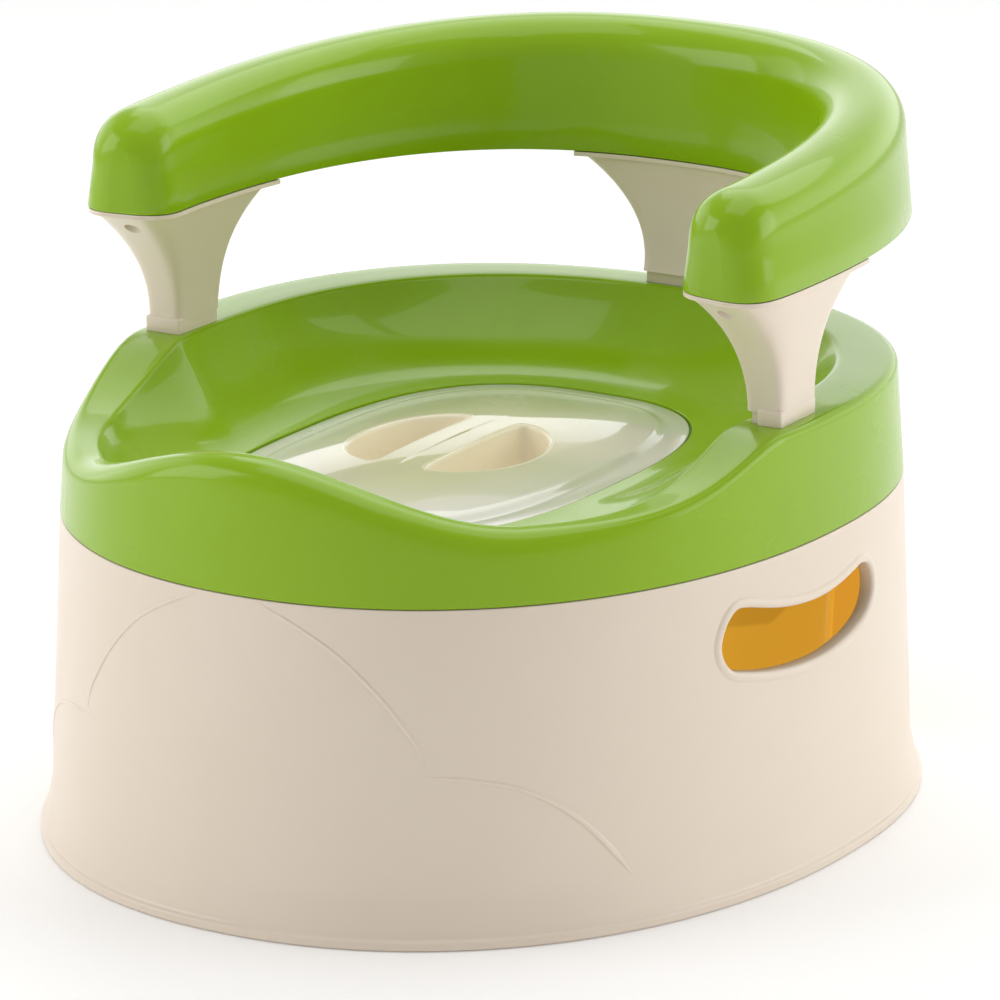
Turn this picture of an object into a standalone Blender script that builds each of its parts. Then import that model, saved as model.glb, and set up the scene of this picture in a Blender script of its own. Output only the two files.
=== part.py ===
"""Potty training chair: a tapered tub with a moulded seat on it, a pot drawer that comes out of the back,
a lift-off lid, and a deep rounded hoop that serves as backrest and armrests on three flared posts.

Metres, +Z up. The front of the chair faces -Y. The origin is on the floor, at the centre of the chair's
footprint. Plan positions are measured from the tub's widest section, and the empty "chair" carries them to
the origin."""

from math import acos, copysign, cos, pi, radians, sin, tau

import bmesh
import bpy
from mathutils import Vector

# ---- Fits and walls ----
FIT = 0.0003  # gap between pieces that touch
WALL = 0.0025
COLUMNS = 56  # points round the tub, the seat and the lid

# ---- Plan outline shared by the tub and the seat, at the seam between them ----
SEAM_HALF_WIDTH = 0.1609
SEAM_FRONT = 0.1999
SEAM_BACK = 0.1728
NOSE_POWER = 2.12
TAIL_POWER = 2.33
SPREAD_SIDE = 0.0091  # how far the foot stands out past the seam
SPREAD_END = 0.0114
SEAT_TAPER = 0.07

# ---- Tub ----
BASE_HEIGHT = 0.1354
FOOT_LIFT = 0.0006
BEAD_TOP = 0.004
GROOVE_TOP = 0.0052
BAND_TOP = 0.0205
TONGUE_HEIGHT = 0.008
TONGUE_WALL = 0.002
SHELF_BOTTOM = 0.012
SHELF_TOP = 0.0145
SHELF_WIDTH = 0.072
SLOT_CENTRE_Y = -0.024
SLOT_HALF_LENGTH = 0.054
SLOT_HALF_HEIGHT = 0.0118
SLOT_BELOW_SEAM = 0.0335
SLOT_SAG = 0.0068
PAD_RADIUS = 0.007
PAD_HEIGHT = 0.003
PAD_X = 0.105
PAD_FRONT_Y = -0.125
PAD_BACK_Y = 0.105

# ---- Drawer ----
DRAWER_SIDE_ROOM = 0.0529  # from the seam outline's side to the drawer's side
DRAWER_FRONT_ROOM = 0.035
DRAWER_BACK_ROOM = 0.045
DRAWER_CLEARANCE = 0.001
DRAWER_STATION_Y = -0.02
TRAY_NOSE_POWER = 3.0
TRAY_TAIL_POWER = 10.0
TRAY_COLUMNS = 44
DRAWER_BELOW_SEAM = 0.0184
DRAWER_WALL = 0.0022
DRAWER_DRAFT = 0.003
TRAY_SOLE_ROUND = 0.006
TRAY_FLOOR_ROUND = 0.014
TRAY_FLOOR_EASE = 0.004  # the middle step of the floor's round edge
WAY_CORNER = 0.006  # radius of the upper corners of the drawer's way out
WAY_SILL_CUT = 0.0005  # how far the way out is cut below the shelf's top
PANEL_OVERLAP = 0.004  # how far the rear panel reaches past the tray's side
PULL_HALF_LENGTH = 0.042
PULL_HALF_HEIGHT = 0.0115
PULL_SAG = 0.005
PULL_BELOW_TOP = 0.034
GUIDE_LENGTH = 0.16
GUIDE_WALL = 0.002
GUIDE_HEIGHT = 0.012

# ---- Seat ----
RIM_RISE = 0.0476  # from the seam to the rim
SPLASH_RISE = 0.0050  # how far the splash guard stands above the rim
THIGH_DROP = 0.0195  # how far the rim falls under each thigh
THIGH_ANGLE = radians(36)
RIM_ANGLE = radians(78)
RIM_SWEEP_POWER = 2.0  # how late the rim climbs between those two angles
RIM_FILLET = 0.005
LAND_SIDE = 0.0195
LAND_BACK = 0.0155
LAND_FRONT = 0.004
INNER_FILLET = 0.004
DISH_RISE = 0.0148  # from the seam to the flat part of the dish
DISH_POWER = 2.5
LEDGE_DEPTH = 0.0030
LEDGE_WIDTH = 0.0085
CHUTE_DEPTH = 0.0260
SOCKET_WALL = 0.002

# ---- Lid ----
LID_HALF_WIDTH = 0.0760
LID_FRONT = 0.1167
LID_BACK = 0.1167
LID_POWER = 2.77
LID_STATION_Y = -0.0293
LID_THICKNESS = 0.0024
LID_CROWN = 0.0085  # from the flange's top to the middle of the lid
LID_SKIN = 0.0020
LID_LIP = 0.0035
LID_LIP_GAP = 0.0008  # between the lip under the lid and the edge of the seat's hole
LID_EDGE_ROUND = 0.0008
LID_FLANGE = 0.007
LID_CROWN_INSETS = (0.011, 0.022, 0.036, 0.052, 0.066)
LID_CROWN_POWER = 0.72  # how late the crown falls toward the flange
BAR_HALF_WIDTH = 0.0115
GRIP_HALF_LENGTH = 0.039
GRIP_REACH = 0.028
GRIP_DEPTH = 0.0205
GRIP_STATION_Y = -0.034

# ---- Hoop ----
HOOP_OVERHANG = 0.0045  # how far the hoop stands out past the rim's side
HOOP_STATION_Y = -0.029
HOOP_BACK = 0.223
HOOP_FRONT = 0.200
HOOP_TAIL_POWER = 2.36
ARM_END_Y = -0.065
CHANNEL_HALF = 0.021
HOOP_WALL = 0.0025
HOOP_DRAFT = 0.003
CROWN_DEPTH = 0.018
CROWN_POWER = 2.3
HOOP_BOTTOM_RISE = 0.0590  # from the rim to the hoop's lower edge at the arms
HOOP_BOTTOM_FALL = 0.0050  # how much lower that edge is at the back
ARM_HEIGHT = 0.0400
BACK_HEIGHT = 0.0590
END_ROUND = 0.020
END_POWER = 3.0
END_DROP = 0.014
TIP = 0.0004  # where the first section of an arm's round end stands

# ---- Posts ----
FOOT_HALF_LENGTH = 0.0155
FOOT_HALF_WIDTH = 0.0085
SHOULDER_RISE = 0.0052
TENON_HALF_LENGTH = 0.0125
TENON_HALF_WIDTH = 0.0060
TENON_DEPTH = 0.012
TENON_CLEARANCE = 0.0004
ARM_POST_Y = -0.014
ARM_POST_X_IN = 0.0151  # from the rim's outer side to the middle of the post's foot
BACK_POST_Y_IN = 0.0115
ARM_FLARE_FRONT = (0.037, 2.3)  # growth of the foot's half length at the plate, and how late it grows
ARM_FLARE_REAR = (0.0236, 3.4)
BACK_FLARE = (0.0375, 2.2)
FLARE_WIDTH = (0.0105, 1.7)
FOOT_SQUARENESS = 7.0  # superellipse power of the post's section
NOSE_SQUARENESS = 3.8  # the same at the plate, toward the arm's end
LIP = 0.0018
ARM_PLATE_REAR = 0.040
BACK_PLATE_HALF = 0.054
ARM_SCREW_FRONT = 0.0415
ARM_SCREW_REAR = 0.0280
BACK_SCREW_OUT = 0.0400
HEAD_RADIUS = 0.0031
HEAD_HEIGHT = 0.0020
SHANK_RADIUS = 0.0015
SHANK_LENGTH = 0.0150
HEAD_COVER = 0.0010
BOSS_RADIUS = 0.0042

# ---- Derived sizes ----
RIM_Z = BASE_HEIGHT + RIM_RISE
DISH_Z = BASE_HEIGHT + DISH_RISE
LEDGE_Z = DISH_Z - LEDGE_DEPTH
RIM_HALF_WIDTH = SEAM_HALF_WIDTH - SEAT_TAPER * RIM_RISE
RIM_BACK = SEAM_BACK - SEAT_TAPER * RIM_RISE
HOOP_HALF_WIDTH = RIM_HALF_WIDTH + HOOP_OVERHANG
DRAWER_HALF_WIDTH = SEAM_HALF_WIDTH - DRAWER_SIDE_ROOM
DRAWER_FRONT = SEAM_FRONT - DRAWER_FRONT_ROOM + DRAWER_STATION_Y
DRAWER_BACK = SEAM_BACK - DRAWER_BACK_ROOM - DRAWER_STATION_Y
DRAWER_BOTTOM = SHELF_TOP + FIT
DRAWER_TOP = BASE_HEIGHT - DRAWER_BELOW_SEAM
PANEL_HALF_WIDTH = DRAWER_HALF_WIDTH + PANEL_OVERLAP
SHOULDER_Z = RIM_Z + SHOULDER_RISE
HOOP_BACK_Y = HOOP_STATION_Y + HOOP_BACK
CHAIR_Y = (SEAM_FRONT + SPREAD_END - HOOP_BACK_Y) / 2

# ---- Colours ----
GREEN = (0.32, 0.50, 0.04, 1)
CREAM = (0.80, 0.74, 0.64, 1)
YELLOW = (0.62, 0.36, 0.03, 1)
WHITE = (0.80, 0.78, 0.70, 1)
STEEL = (0.60, 0.60, 0.62, 1)
RUBBER = (0.55, 0.55, 0.53, 1)


def clear_scene():
    for obj in list(bpy.data.objects):
        bpy.data.objects.remove(obj, do_unlink=True)


def make_material(name, colour, roughness, metallic=0.0):
    material = bpy.data.materials.new(name)
    material.use_nodes = True
    shader = material.node_tree.nodes["Principled BSDF"]
    shader.inputs["Base Color"].default_value = colour
    shader.inputs["Roughness"].default_value = roughness
    shader.inputs["Metallic"].default_value = metallic
    return material


# ---- Mesh helpers ----


def round_power(value, power):
    """Superellipse coordinate: the sign of value with its size raised to 2 / power."""
    return copysign(abs(value) ** (2 / power), value)


def skin(rings, loop=False):
    """A bmesh of quads between neighbouring rings: a closed loop of rings, or a tube with filled ends."""
    bm = bmesh.new()
    rows = [[bm.verts.new(point) for point in ring] for ring in rings]
    pairs = list(zip(rows, rows[1:]))
    if loop:
        pairs.append((rows[-1], rows[0]))
    else:
        bm.faces.new(rows[0])
        bm.faces.new(rows[-1])
    for first, second in pairs:
        for i, vert in enumerate(first):
            after = (i + 1) % len(first)
            bm.faces.new((vert, first[after], second[after], second[i]))
    bmesh.ops.recalc_face_normals(bm, faces=bm.faces)
    return bm


def merged(parts):
    """One bmesh that holds the faces of all the given ones."""
    whole = bmesh.new()
    for part in parts:
        mesh = bpy.data.meshes.new("part")
        part.to_mesh(mesh)
        part.free()
        whole.from_mesh(mesh)
        bpy.data.meshes.remove(mesh)
    return whole


def add_object(name, bm, material, chair, smooth_angle=radians(35)):
    mesh = bpy.data.meshes.new(name)
    bm.to_mesh(mesh)
    bm.free()
    mesh.shade_smooth()
    mesh.set_sharp_from_angle(angle=smooth_angle)
    mesh.materials.append(material)
    obj = bpy.data.objects.new(name, mesh)
    bpy.context.scene.collection.objects.link(obj)
    obj.parent = chair
    return obj


def add_cutter(name, bm, chair):
    mesh = bpy.data.meshes.new(name)
    bm.to_mesh(mesh)
    bm.free()
    obj = bpy.data.objects.new(name, mesh)
    bpy.context.scene.collection.objects.link(obj)
    obj.parent = chair
    obj.hide_render = True
    obj.display_type = "WIRE"
    return obj


def combine(target, other, operation):
    boolean = target.modifiers.new(other.name, "BOOLEAN")
    boolean.operation = operation
    boolean.solver = "EXACT"
    boolean.object = other


def box(low, high):
    bm = bmesh.new()
    bmesh.ops.create_cube(bm, size=1.0)
    size = Vector(high) - Vector(low)
    centre = (Vector(high) + Vector(low)) / 2
    bmesh.ops.scale(bm, vec=size, verts=bm.verts)
    bmesh.ops.translate(bm, vec=centre, verts=bm.verts)
    return bm


def rod(x, y, low, high, radius, segments=16):
    bm = bmesh.new()
    depth = high - low
    bmesh.ops.create_cone(bm, cap_ends=True, segments=segments, radius1=radius, radius2=radius, depth=depth)
    bmesh.ops.translate(bm, vec=(x, y, (low + high) / 2), verts=bm.verts)
    return bm


def bean(half_length, half_height, sag, steps=7):
    """A smile-shaped slot outline, as (along, up) pairs: two arcs with round ends."""
    def middle(along):
        return sag * (along / half_length) ** 2 - sag / 2

    straight = half_length - half_height
    lower = [(-straight + 2 * straight * i / steps, -half_height) for i in range(steps + 1)]
    right = [(straight + half_height * sin(a), -half_height * cos(a)) for a in (pi / 4, pi / 2, 3 * pi / 4)]
    upper = [(-along, half_height) for along, _ in lower]
    left = [(-along, -up) for along, up in right]
    return [(along, up + middle(along)) for along, up in lower + right + upper + left]


# ---- Outlines ----


def egg(half_width, front, back, nose, tail, station_y=0.0, count=COLUMNS):
    """A closed plan outline, anticlockwise from the front, as (x, y) pairs."""
    points = []
    for step in range(count):
        across, along = sin(tau * step / count), cos(tau * step / count)
        power, reach = (nose, front) if along > 0 else (tail, back)
        x, y = half_width * round_power(across, power), station_y - reach * round_power(along, power)
        points.append((x, y))
    return points


def spread_at(z):
    """How much of the foot's spread the tub has at height z."""
    levels = ((0.0, 1.0), (BEAD_TOP, 1.0), (GROOVE_TOP, 0.82), (BAND_TOP, 0.5), (BASE_HEIGHT, 0.0))
    for (low, wide), (high, narrow) in zip(levels, levels[1:]):
        if z <= high:
            return wide + (narrow - wide) * (z - low) / (high - low)
    return 0.0


def outline_at(z, inset=0.0):
    """The shared outline's half width, front reach and back reach at height z, set in by inset."""
    lean = inset + max(0.0, z - BASE_HEIGHT) * SEAT_TAPER
    spread = spread_at(z)
    return (
        SEAM_HALF_WIDTH + SPREAD_SIDE * spread - lean,
        SEAM_FRONT + SPREAD_END * spread - lean,
        SEAM_BACK + SPREAD_END * spread - lean,
    )


def shell_ring(z, inset=0.0):
    return [(x, y, z) for x, y in egg(*outline_at(z, inset), NOSE_POWER, TAIL_POWER)]


def back_y(x, z):
    """The y of the shared outline's back at a given x and height."""
    half_width, _, back = outline_at(z)
    return back * (1 - abs(x / half_width) ** TAIL_POWER) ** (1 / TAIL_POWER)


def side_x(y, z):
    """The x of the shared outline's right side at a given y and height."""
    half_width, front, back = outline_at(z)
    power, reach = (NOSE_POWER, front) if y < 0 else (TAIL_POWER, back)
    return half_width * (1 - abs(y / reach) ** power) ** (1 / power)


# ---- Tub ----


def tub_shell():
    """The tub's wall, its shelf for the drawer and its tongue for the seat, as a closed loop of rings."""
    tongue_top = BASE_HEIGHT + TONGUE_HEIGHT
    tongue_in = WALL + FIT + TONGUE_WALL
    outside = [shell_ring(z) for z in (FOOT_LIFT, BEAD_TOP, GROOVE_TOP, BAND_TOP, BASE_HEIGHT)]
    tongue = [
        shell_ring(BASE_HEIGHT, WALL + FIT),
        shell_ring(tongue_top, WALL + FIT),
        shell_ring(tongue_top, tongue_in),
        shell_ring(BASE_HEIGHT - TONGUE_WALL, tongue_in),
    ]
    inside = [shell_ring(z, WALL) for z in (BASE_HEIGHT - 3 * TONGUE_WALL, BAND_TOP, SHELF_TOP)]
    shelf = [shell_ring(z, SHELF_WIDTH) for z in (SHELF_TOP, SHELF_BOTTOM)]
    under = [shell_ring(z, WALL) for z in (SHELF_BOTTOM, BEAD_TOP, FOOT_LIFT)]
    return skin(outside + tongue + inside + shelf + under, loop=True)


def pad_places():
    for side, word in ((-1, "left"), (1, "right")):
        for y, end in ((PAD_FRONT_Y, "front"), (PAD_BACK_Y, "rear")):
            yield f"{end}_{word}", side * PAD_X, y


def tub_additions():
    """Guide ribs beside the drawer and a cup for each rubber pad."""
    sunk = SHELF_BOTTOM + WALL / 2
    near = DRAWER_HALF_WIDTH + DRAWER_CLEARANCE
    start, end = DRAWER_STATION_Y - GUIDE_LENGTH / 2, DRAWER_STATION_Y + GUIDE_LENGTH / 2
    rib_top = SHELF_TOP + GUIDE_HEIGHT
    parts = [box((x, start, sunk), (x + GUIDE_WALL, end, rib_top)) for x in (-near - GUIDE_WALL, near)]
    cup = PAD_RADIUS + FIT + WALL
    parts += [rod(x, y, FOOT_LIFT + FIT, sunk, cup, 20) for _, x, y in pad_places()]
    return merged(parts)


def slot_cutter(side):
    """A smile-shaped plug that passes through one side wall."""
    middle_z = BASE_HEIGHT - SLOT_BELOW_SEAM
    wall_x = side_x(SLOT_CENTRE_Y, middle_z)
    outline = bean(SLOT_HALF_LENGTH, SLOT_HALF_HEIGHT, SLOT_SAG)
    reach = (wall_x - 6 * WALL, wall_x + 6 * WALL)
    rings = [[(side * x, SLOT_CENTRE_Y + along, middle_z + up) for along, up in outline] for x in reach]
    return skin(rings)


def drawer_way_cutter():
    """The opening in the tub's back that the drawer comes out of, with round upper corners."""
    half = PANEL_HALF_WIDTH + DRAWER_CLEARANCE
    top = DRAWER_TOP + DRAWER_CLEARANCE
    low = SHELF_TOP - WAY_SILL_CUT
    centre_x, centre_z = half - WAY_CORNER, top - WAY_CORNER
    turns = (0, pi / 6, pi / 3, pi / 2)
    corner = [(centre_x + WAY_CORNER * cos(a), centre_z + WAY_CORNER * sin(a)) for a in turns]
    outline = [(-half, low), (half, low)] + corner + [(-x, z) for x, z in reversed(corner)]
    front = SEAM_BACK - DRAWER_BACK_ROOM - 6 * WALL
    return skin([[(x, y, z) for x, z in outline] for y in (front, SEAM_BACK + 3 * SPREAD_END)])


def build_tub(material, chair):
    tub = add_object("tub", tub_shell(), material, chair)
    combine(tub, add_cutter("tub_ribs_and_cups", tub_additions(), chair), "UNION")
    recesses = [rod(x, y, -0.001, PAD_HEIGHT + FIT, PAD_RADIUS + FIT, 20) for _, x, y in pad_places()]
    cuts = merged([slot_cutter(-1), slot_cutter(1), drawer_way_cutter()] + recesses)
    combine(tub, add_cutter("tub_cuts", cuts, chair), "DIFFERENCE")


def build_pads(material, chair):
    for place, x, y in pad_places():
        pad = add_object(f"rubber_pad_{place}", rod(0, 0, 0, PAD_HEIGHT, PAD_RADIUS, 20), material, chair)
        pad.location = (x, y, 0)


# ---- Drawer ----


def tray_ring(z, inset=0.0):
    draft = DRAWER_DRAFT * (DRAWER_TOP - z) / (DRAWER_TOP - DRAWER_BOTTOM)
    lean = inset + draft
    sizes = (DRAWER_HALF_WIDTH - lean, DRAWER_FRONT - lean, DRAWER_BACK - lean)
    outline = egg(*sizes, TRAY_NOSE_POWER, TRAY_TAIL_POWER, DRAWER_STATION_Y, TRAY_COLUMNS)
    return [(x, y, z) for x, y in outline]


def tray():
    floor = DRAWER_BOTTOM + DRAWER_WALL
    return skin(
        [
            tray_ring(DRAWER_BOTTOM, TRAY_SOLE_ROUND),
            tray_ring(DRAWER_BOTTOM + TRAY_SOLE_ROUND),
            tray_ring(DRAWER_TOP),
            tray_ring(DRAWER_TOP, DRAWER_WALL),
            tray_ring(floor + TRAY_FLOOR_ROUND, DRAWER_WALL),
            tray_ring(floor + TRAY_FLOOR_EASE, DRAWER_WALL + TRAY_FLOOR_EASE),
            tray_ring(floor, DRAWER_WALL + TRAY_FLOOR_ROUND),
        ]
    )


def rear_panel():
    """The curved panel that closes the tub's back, and the deck that joins it to the tray."""
    middle = PANEL_HALF_WIDTH - WAY_CORNER
    straight = [middle * (i / 6 - 1) for i in range(13)]
    corner = [(middle + WAY_CORNER * sin(a), WAY_CORNER * (1 - cos(a))) for a in (pi / 6, pi / 3, pi / 2)]
    columns = [(-x, drop) for x, drop in reversed(corner)] + [(x, 0.0) for x in straight] + corner
    wall = []
    for x, drop in columns:
        outer = [(x, back_y(x, z), z) for z in (DRAWER_BOTTOM, BAND_TOP, DRAWER_TOP - drop)]
        inner = [(x, y - DRAWER_WALL, z) for _, y, z in reversed(outer)]
        wall.append(outer + inner)
    front = DRAWER_STATION_Y + DRAWER_BACK - 0.6 * DRAWER_WALL
    low = DRAWER_TOP - DRAWER_WALL
    deck = []
    for x in straight[1:-1]:
        rear = back_y(x, DRAWER_TOP) - 0.5 * DRAWER_WALL
        deck.append([(x, front, low), (x, rear, low), (x, rear, DRAWER_TOP), (x, front, DRAWER_TOP)])
    return skin(wall), skin(deck)


def build_drawer(material, chair):
    drawer = add_object("pot_drawer", tray(), material, chair)
    panel, deck = rear_panel()
    combine(drawer, add_cutter("drawer_deck", deck, chair), "UNION")
    combine(drawer, add_cutter("drawer_panel", panel, chair), "UNION")
    middle_z = DRAWER_TOP - PULL_BELOW_TOP
    pull = [
        [(along, y, middle_z + up) for along, up in bean(PULL_HALF_LENGTH, PULL_HALF_HEIGHT, PULL_SAG)]
        for y in (SEAM_BACK - 8 * WALL, SEAM_BACK + 8 * WALL)
    ]
    combine(drawer, add_cutter("drawer_pull", skin(pull), chair), "DIFFERENCE")


# ---- Seat ----


def ease(value):
    """0 to 1 with level ends."""
    value = min(1.0, max(0.0, value))
    return value * value * (3 - 2 * value)


def crest(turn):
    """The height of the seat's rim at an angle from the front: splash guard, thigh dips, then level."""
    angle = min(turn, tau - turn)
    low = RIM_Z - THIGH_DROP
    if angle < THIGH_ANGLE:
        return low + (THIGH_DROP + SPLASH_RISE) * (0.5 + 0.5 * cos(pi * angle / THIGH_ANGLE))
    return low + THIGH_DROP * ease(((angle - THIGH_ANGLE) / (RIM_ANGLE - THIGH_ANGLE)) ** RIM_SWEEP_POWER)


def land(turn):
    """The width of the rim's flat top at an angle from the front."""
    angle = min(turn, tau - turn)
    if angle < pi / 2:
        part = (angle - THIGH_ANGLE) / (RIM_ANGLE - THIGH_ANGLE)
        return LAND_FRONT + (LAND_SIDE - LAND_FRONT) * ease(part)
    return LAND_SIDE + (LAND_BACK - LAND_SIDE) * ease((angle - pi / 2) / (pi / 2))


def seat_point(step, z, inset):
    x, y = egg(*outline_at(z, inset), NOSE_POWER, TAIL_POWER)[step]
    return Vector((x, y, z))


def lid_outline(inset=0.0):
    sizes = (LID_HALF_WIDTH - inset, LID_FRONT - inset, LID_BACK - inset)
    return egg(*sizes, LID_POWER, LID_POWER, LID_STATION_Y)


def seat_column(step):
    """One column of the seat's upper surface, from the foot of its skirt to the foot of its chute."""
    start = seat_point(step, RIM_Z, 0.0)
    turn = direction(start.x, start.y)
    top, flat = crest(turn), land(turn)
    bottom = BASE_HEIGHT + FIT
    shoulder = top - RIM_FILLET
    points = [seat_point(step, z, 0.0) for z in (bottom, (bottom + shoulder) / 2, shoulder)]
    for a in (radians(30), radians(60), radians(90)):
        points.append(seat_point(step, shoulder + RIM_FILLET * sin(a), RIM_FILLET * (1 - cos(a))))
    edge = RIM_FILLET + flat
    points.append(seat_point(step, top, edge))
    for a in (radians(28), radians(54)):
        points.append(seat_point(step, top - INNER_FILLET * (1 - cos(a)), edge + INNER_FILLET * sin(a)))
    high = points[-1]
    well = Vector((*lid_outline(-0.0012)[step], DISH_Z))
    for part in (0.08, 0.22, 0.42, 0.68, 1.0):
        fall = (1 - part) ** DISH_POWER
        mixed = high.lerp(well, part)
        points.append(Vector((mixed.x, mixed.y, DISH_Z + (high.z - DISH_Z) * fall)))
    hole = lid_outline(LEDGE_WIDTH)[step]
    chute = lid_outline(LEDGE_WIDTH + 0.001)[step]
    points.append(Vector((*lid_outline(-0.0009)[step], LEDGE_Z)))
    points.append(Vector((*hole, LEDGE_Z)))
    points.append(Vector((*chute, LEDGE_Z - CHUTE_DEPTH)))
    return points


def direction(x, y):
    """The angle of a plan point from the front, 0 to a full turn."""
    angle = acos(max(-1.0, min(1.0, -y / (x * x + y * y) ** 0.5)))
    return angle if x >= 0 else tau - angle


def seat_surface():
    columns = [seat_column(step) for step in range(COLUMNS)]
    bm = bmesh.new()
    rows = [[bm.verts.new(point) for point in ring] for ring in zip(*columns)]
    for first, second in zip(rows, rows[1:]):
        for i in range(COLUMNS):
            after = (i + 1) % COLUMNS
            bm.faces.new((first[i], first[after], second[after], second[i]))
    return bm


def post_feet():
    """Each post's name, the middle of its foot and the direction of its long side."""
    arm_x = RIM_HALF_WIDTH - ARM_POST_X_IN
    return (
        ("left", Vector((-arm_x, ARM_POST_Y)), Vector((0, 1))),
        ("right", Vector((arm_x, ARM_POST_Y)), Vector((0, 1))),
        ("back", Vector((0, RIM_BACK - BACK_POST_Y_IN)), Vector((1, 0))),
    )


def foot_box(centre, along, half_length, half_width, low, high):
    reach = Vector((half_length, half_width)) if along.x else Vector((half_width, half_length))
    return box((*(centre - reach), low), (*(centre + reach), high))


def build_seat(material, chair):
    seat = add_object("seat", seat_surface(), material, chair)
    thicken = seat.modifiers.new("wall", "SOLIDIFY")
    thicken.thickness = WALL
    thicken.offset = -1.0
    thicken.use_even_offset = True
    length = TENON_HALF_LENGTH + TENON_CLEARANCE
    width = TENON_HALF_WIDTH + TENON_CLEARANCE
    low = RIM_Z - TENON_DEPTH - WALL
    wall_length, wall_width = length + SOCKET_WALL, width + SOCKET_WALL
    sockets = [foot_box(c, a, wall_length, wall_width, low, RIM_Z - 0.4 * WALL) for _, c, a in post_feet()]
    holes = [foot_box(c, a, length, width, low - WALL, RIM_Z + 2 * WALL) for _, c, a in post_feet()]
    combine(seat, add_cutter("seat_sockets", merged(sockets), chair), "UNION")
    combine(seat, add_cutter("seat_socket_holes", merged(holes), chair), "DIFFERENCE")


# ---- Lid ----


def lid_height(x, y):
    """The height of the lid's crowned top above the flange's top at a plan point."""
    reach = abs(x / LID_HALF_WIDTH) ** LID_POWER + abs((y - LID_STATION_Y) / LID_FRONT) ** LID_POWER
    return LID_CROWN * (1 - min(1.0, reach) ** LID_CROWN_POWER)


def lid_ring(inset, drop):
    base = LEDGE_Z + FIT + LID_THICKNESS
    return [(x, y, base + lid_height(x, y) - drop) for x, y in lid_outline(inset)]


def level_ring(inset, z):
    return [(x, y, z) for x, y in lid_outline(inset)]


def lid_shell():
    low = LEDGE_Z + FIT
    top = low + LID_THICKNESS
    lip = LEDGE_WIDTH + LID_LIP_GAP
    rings = [level_ring(0.0, low), level_ring(0.0, top - LID_EDGE_ROUND)]
    rings += [level_ring(LID_EDGE_ROUND, top), level_ring(LID_FLANGE, top)]
    rings += [lid_ring(inset, 0.0) for inset in LID_CROWN_INSETS]
    rings += [lid_ring(inset, LID_SKIN) for inset in reversed(LID_CROWN_INSETS[1:])]
    rings += [level_ring(lip + LID_SKIN, low), level_ring(lip + LID_SKIN, low - LID_LIP)]
    rings += [level_ring(lip, low - LID_LIP), level_ring(lip, low)]
    return rings


def closed_lid():
    """The crowned lid: two skins that share the rings above, each closed at the middle."""
    rings = lid_shell()
    split = 4 + len(LID_CROWN_INSETS)
    bm = bmesh.new()
    rows = [[bm.verts.new(point) for point in ring] for ring in rings]
    for index, (first, second) in enumerate(zip(rows, rows[1:] + rows[:1])):
        if index == split - 1:
            continue
        for i in range(COLUMNS):
            after = (i + 1) % COLUMNS
            bm.faces.new((first[i], first[after], second[after], second[i]))
    bm.faces.new(rows[split - 1])
    bm.faces.new(rows[split])
    bmesh.ops.recalc_face_normals(bm, faces=bm.faces)
    return bm


def half_moon(side, grow, low, high_drop):
    """A half-moon plug beside the grip bar, from low up to high_drop below the crown."""
    base = LEDGE_Z + FIT + LID_THICKNESS
    start = BAR_HALF_WIDTH - grow
    outline = []
    for i in range(13):
        a = pi * i / 12
        x = start + (GRIP_REACH + 2 * grow) * sin(a)
        outline.append((side * x, GRIP_STATION_Y + (GRIP_HALF_LENGTH + grow) * cos(a)))
    floor = [(x, y, low) for x, y in outline]
    roof = [(x, y, base + lid_height(x, y) - high_drop) for x, y in outline]
    return skin([floor, roof])


def build_lid(material, chair):
    lid = add_object("pot_lid", closed_lid(), material, chair)
    floor = LEDGE_Z + FIT + LID_THICKNESS + LID_CROWN - GRIP_DEPTH
    cups = [half_moon(side, LID_SKIN, floor - LID_SKIN, 0.5 * LID_SKIN) for side in (-1, 1)]
    hollows = [half_moon(side, 0.0, floor, -0.01) for side in (-1, 1)]
    combine(lid, add_cutter("lid_cups", merged(cups), chair), "UNION")
    combine(lid, add_cutter("lid_hollows", merged(hollows), chair), "DIFFERENCE")


# ---- Hoop ----


class HoopPath:
    """The hoop's centre line in plan, by distance from the right arm's end to the left arm's end."""

    def __init__(self, count=360):
        half_width = HOOP_HALF_WIDTH - CHANNEL_HALF
        front, back = HOOP_FRONT - CHANNEL_HALF, HOOP_BACK - CHANNEL_HALF
        first = acos((HOOP_STATION_Y - ARM_END_Y) / front)
        self.points = []
        for i in range(count + 1):
            turn = first + (tau - 2 * first) * i / count
            across, along = sin(turn), cos(turn)
            power, reach = (2.0, front) if along > 0 else (HOOP_TAIL_POWER, back)
            x = half_width * round_power(across, power)
            self.points.append(Vector((x, HOOP_STATION_Y - reach * round_power(along, power))))
        self.marks = [0.0]
        for a, b in zip(self.points, self.points[1:]):
            self.marks.append(self.marks[-1] + (b - a).length)
        self.length = self.marks[-1]

    def at(self, distance):
        """The point at a distance along the line, and the direction that points out of the hoop there."""
        distance = min(self.length, max(0.0, distance))
        index = max(i for i, mark in enumerate(self.marks[:-1]) if mark <= distance)
        a, b = self.points[index], self.points[index + 1]
        part = (distance - self.marks[index]) / (self.marks[index + 1] - self.marks[index])
        ahead = (b - a).normalized()
        return a.lerp(b, part), Vector((ahead.y, -ahead.x))

    def distance_at_y(self, y):
        """The distance from the right arm's end at which the line first reaches y."""
        index = next(i for i, point in enumerate(self.points) if point.y >= y)
        return self.marks[index]


def rearness(y):
    """0 at the arms' ends and 1 at the back of the hoop."""
    return (y - ARM_END_Y) / (HOOP_BACK_Y - ARM_END_Y)


def hoop_bottom(y):
    return RIM_Z + HOOP_BOTTOM_RISE - HOOP_BOTTOM_FALL * max(0.0, rearness(y)) ** 2


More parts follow.
